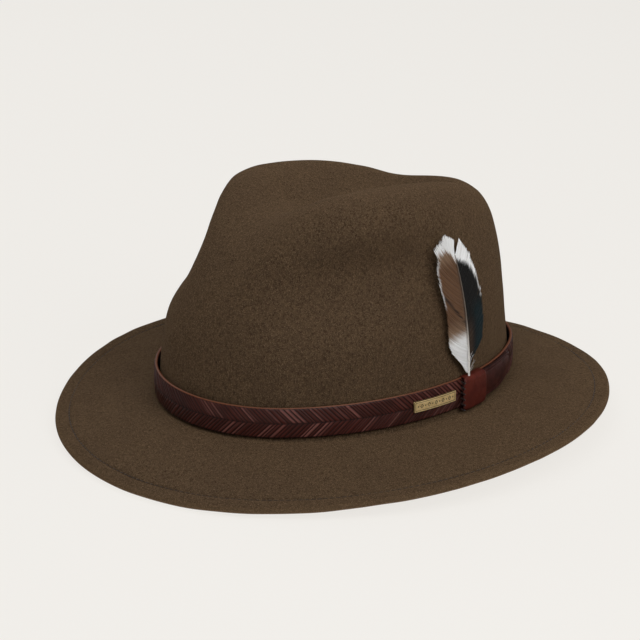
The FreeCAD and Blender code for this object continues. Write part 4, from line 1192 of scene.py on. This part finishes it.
def stand(data, place, way):
    """Puts a camera or a light at a place, looking along a way."""
    thing = bpy.data.objects.new(data.name, data)
    thing.location = place
    thing.rotation_mode = "QUATERNION"
    thing.rotation_quaternion = way.to_track_quat("-Z", "Y")
    bpy.context.scene.collection.objects.link(thing)
    return thing


def add_camera():
    """Camera in front of the wearer's left side, a little above the hat."""
    data = bpy.data.cameras.new("camera")
    data.lens, data.sensor_width = VIEW_LENS, 36.0
    data.shift_x, data.shift_y = VIEW_SHIFT_X, VIEW_SHIFT_Y
    back = direction(VIEW_AZIMUTH, VIEW_ELEVATION)
    bpy.context.scene.camera = stand(data, Vector((0, 0, VIEW_HEIGHT)) + back * VIEW_DISTANCE, -back)


def add_lights():
    """Square soft lights all round, aimed at the hat."""
    for name, (azimuth, elevation, power) in LIGHTS.items():
        data = bpy.data.lights.new(name, "AREA")
        data.size, data.energy = LIGHT_SIZE, power
        place = direction(azimuth, elevation) * LIGHT_DISTANCE
        stand(data, place, LIGHT_AIM - place)


def add_surroundings():
    """Even pale surroundings, brighter to the camera than the light they give."""
    scene = bpy.context.scene
    scene.view_settings.view_transform = "Standard"
    scene.world = bpy.data.worlds.new("studio")
    scene.world.use_nodes = True
    tree = scene.world.node_tree
    background = tree.nodes["Background"]
    background.inputs["Color"].default_value = (1.0, 0.985, 0.96, 1)
    strength = tree.nodes.new("ShaderNodeMapRange")
    strength.inputs["To Min"].default_value, strength.inputs["To Max"].default_value = WORLD_LIGHT, WORLD_SEEN
    camera_ray = tree.nodes.new("ShaderNodeLightPath").outputs["Is Camera Ray"]
    tree.links.new(camera_ray, strength.inputs["Value"])
    tree.links.new(strength.outputs[0], background.inputs["Strength"])


def add_floor():
    """Pale floor under the brim; seen from below it lets the view and the light through."""
    level = cad_box[0].z - FLOOR_GAP
    corners = [(x * FLOOR_HALF, y * FLOOR_HALF, level) for x, y in ((-1, -1), (1, -1), (1, 1), (-1, 1))]
    mesh = bpy.data.meshes.new("floor")
    mesh.from_pydata(corners, [], [(0, 1, 2, 3)])
    look = Look("floor_paper")
    look.paint(FLOOR_SHADE)
    look.done(Roughness=1.0, Specular_IOR_Level=0)
    glow = look.node("Emission", {"Color": srgb(240, 237, 232), "Strength": FLOOR_GLOW}).outputs[0]
    seen = look.node("AddShader", {0: look.shader.outputs[0], 1: glow}).outputs[0]
    paper = look.node("BsdfDiffuse", {"Color": FLOOR_BOUNCE}).outputs[0]
    path = look.node("LightPath", {}).outputs
    seen = look.node("MixShader", {0: path["Is Camera Ray"], 1: paper, 2: seen}).outputs[0]
    clear = look.node("BsdfTransparent", {}).outputs[0]
    behind = look.node("NewGeometry", {}).outputs["Backfacing"]
    through = look.math("MAXIMUM", behind, path["Is Shadow Ray"])
    mixed = look.node("MixShader", {0: through, 1: seen, 2: clear}).outputs[0]
    look.put(look.tree.nodes["Material Output"], "Surface", mixed)
    add_object(mesh, look.material)


# ---------------------------------------------------------------- all together

for make_part in (
    felt, brim_stitches, hatband, strap_tongue, keeper, keeper_stitches, badge, feather,
    sweatband, reed, sweatband_stitches, bow, lining_side, lining_tip, piping,
    add_surroundings, add_lights, add_floor, add_camera,
):
    make_part()
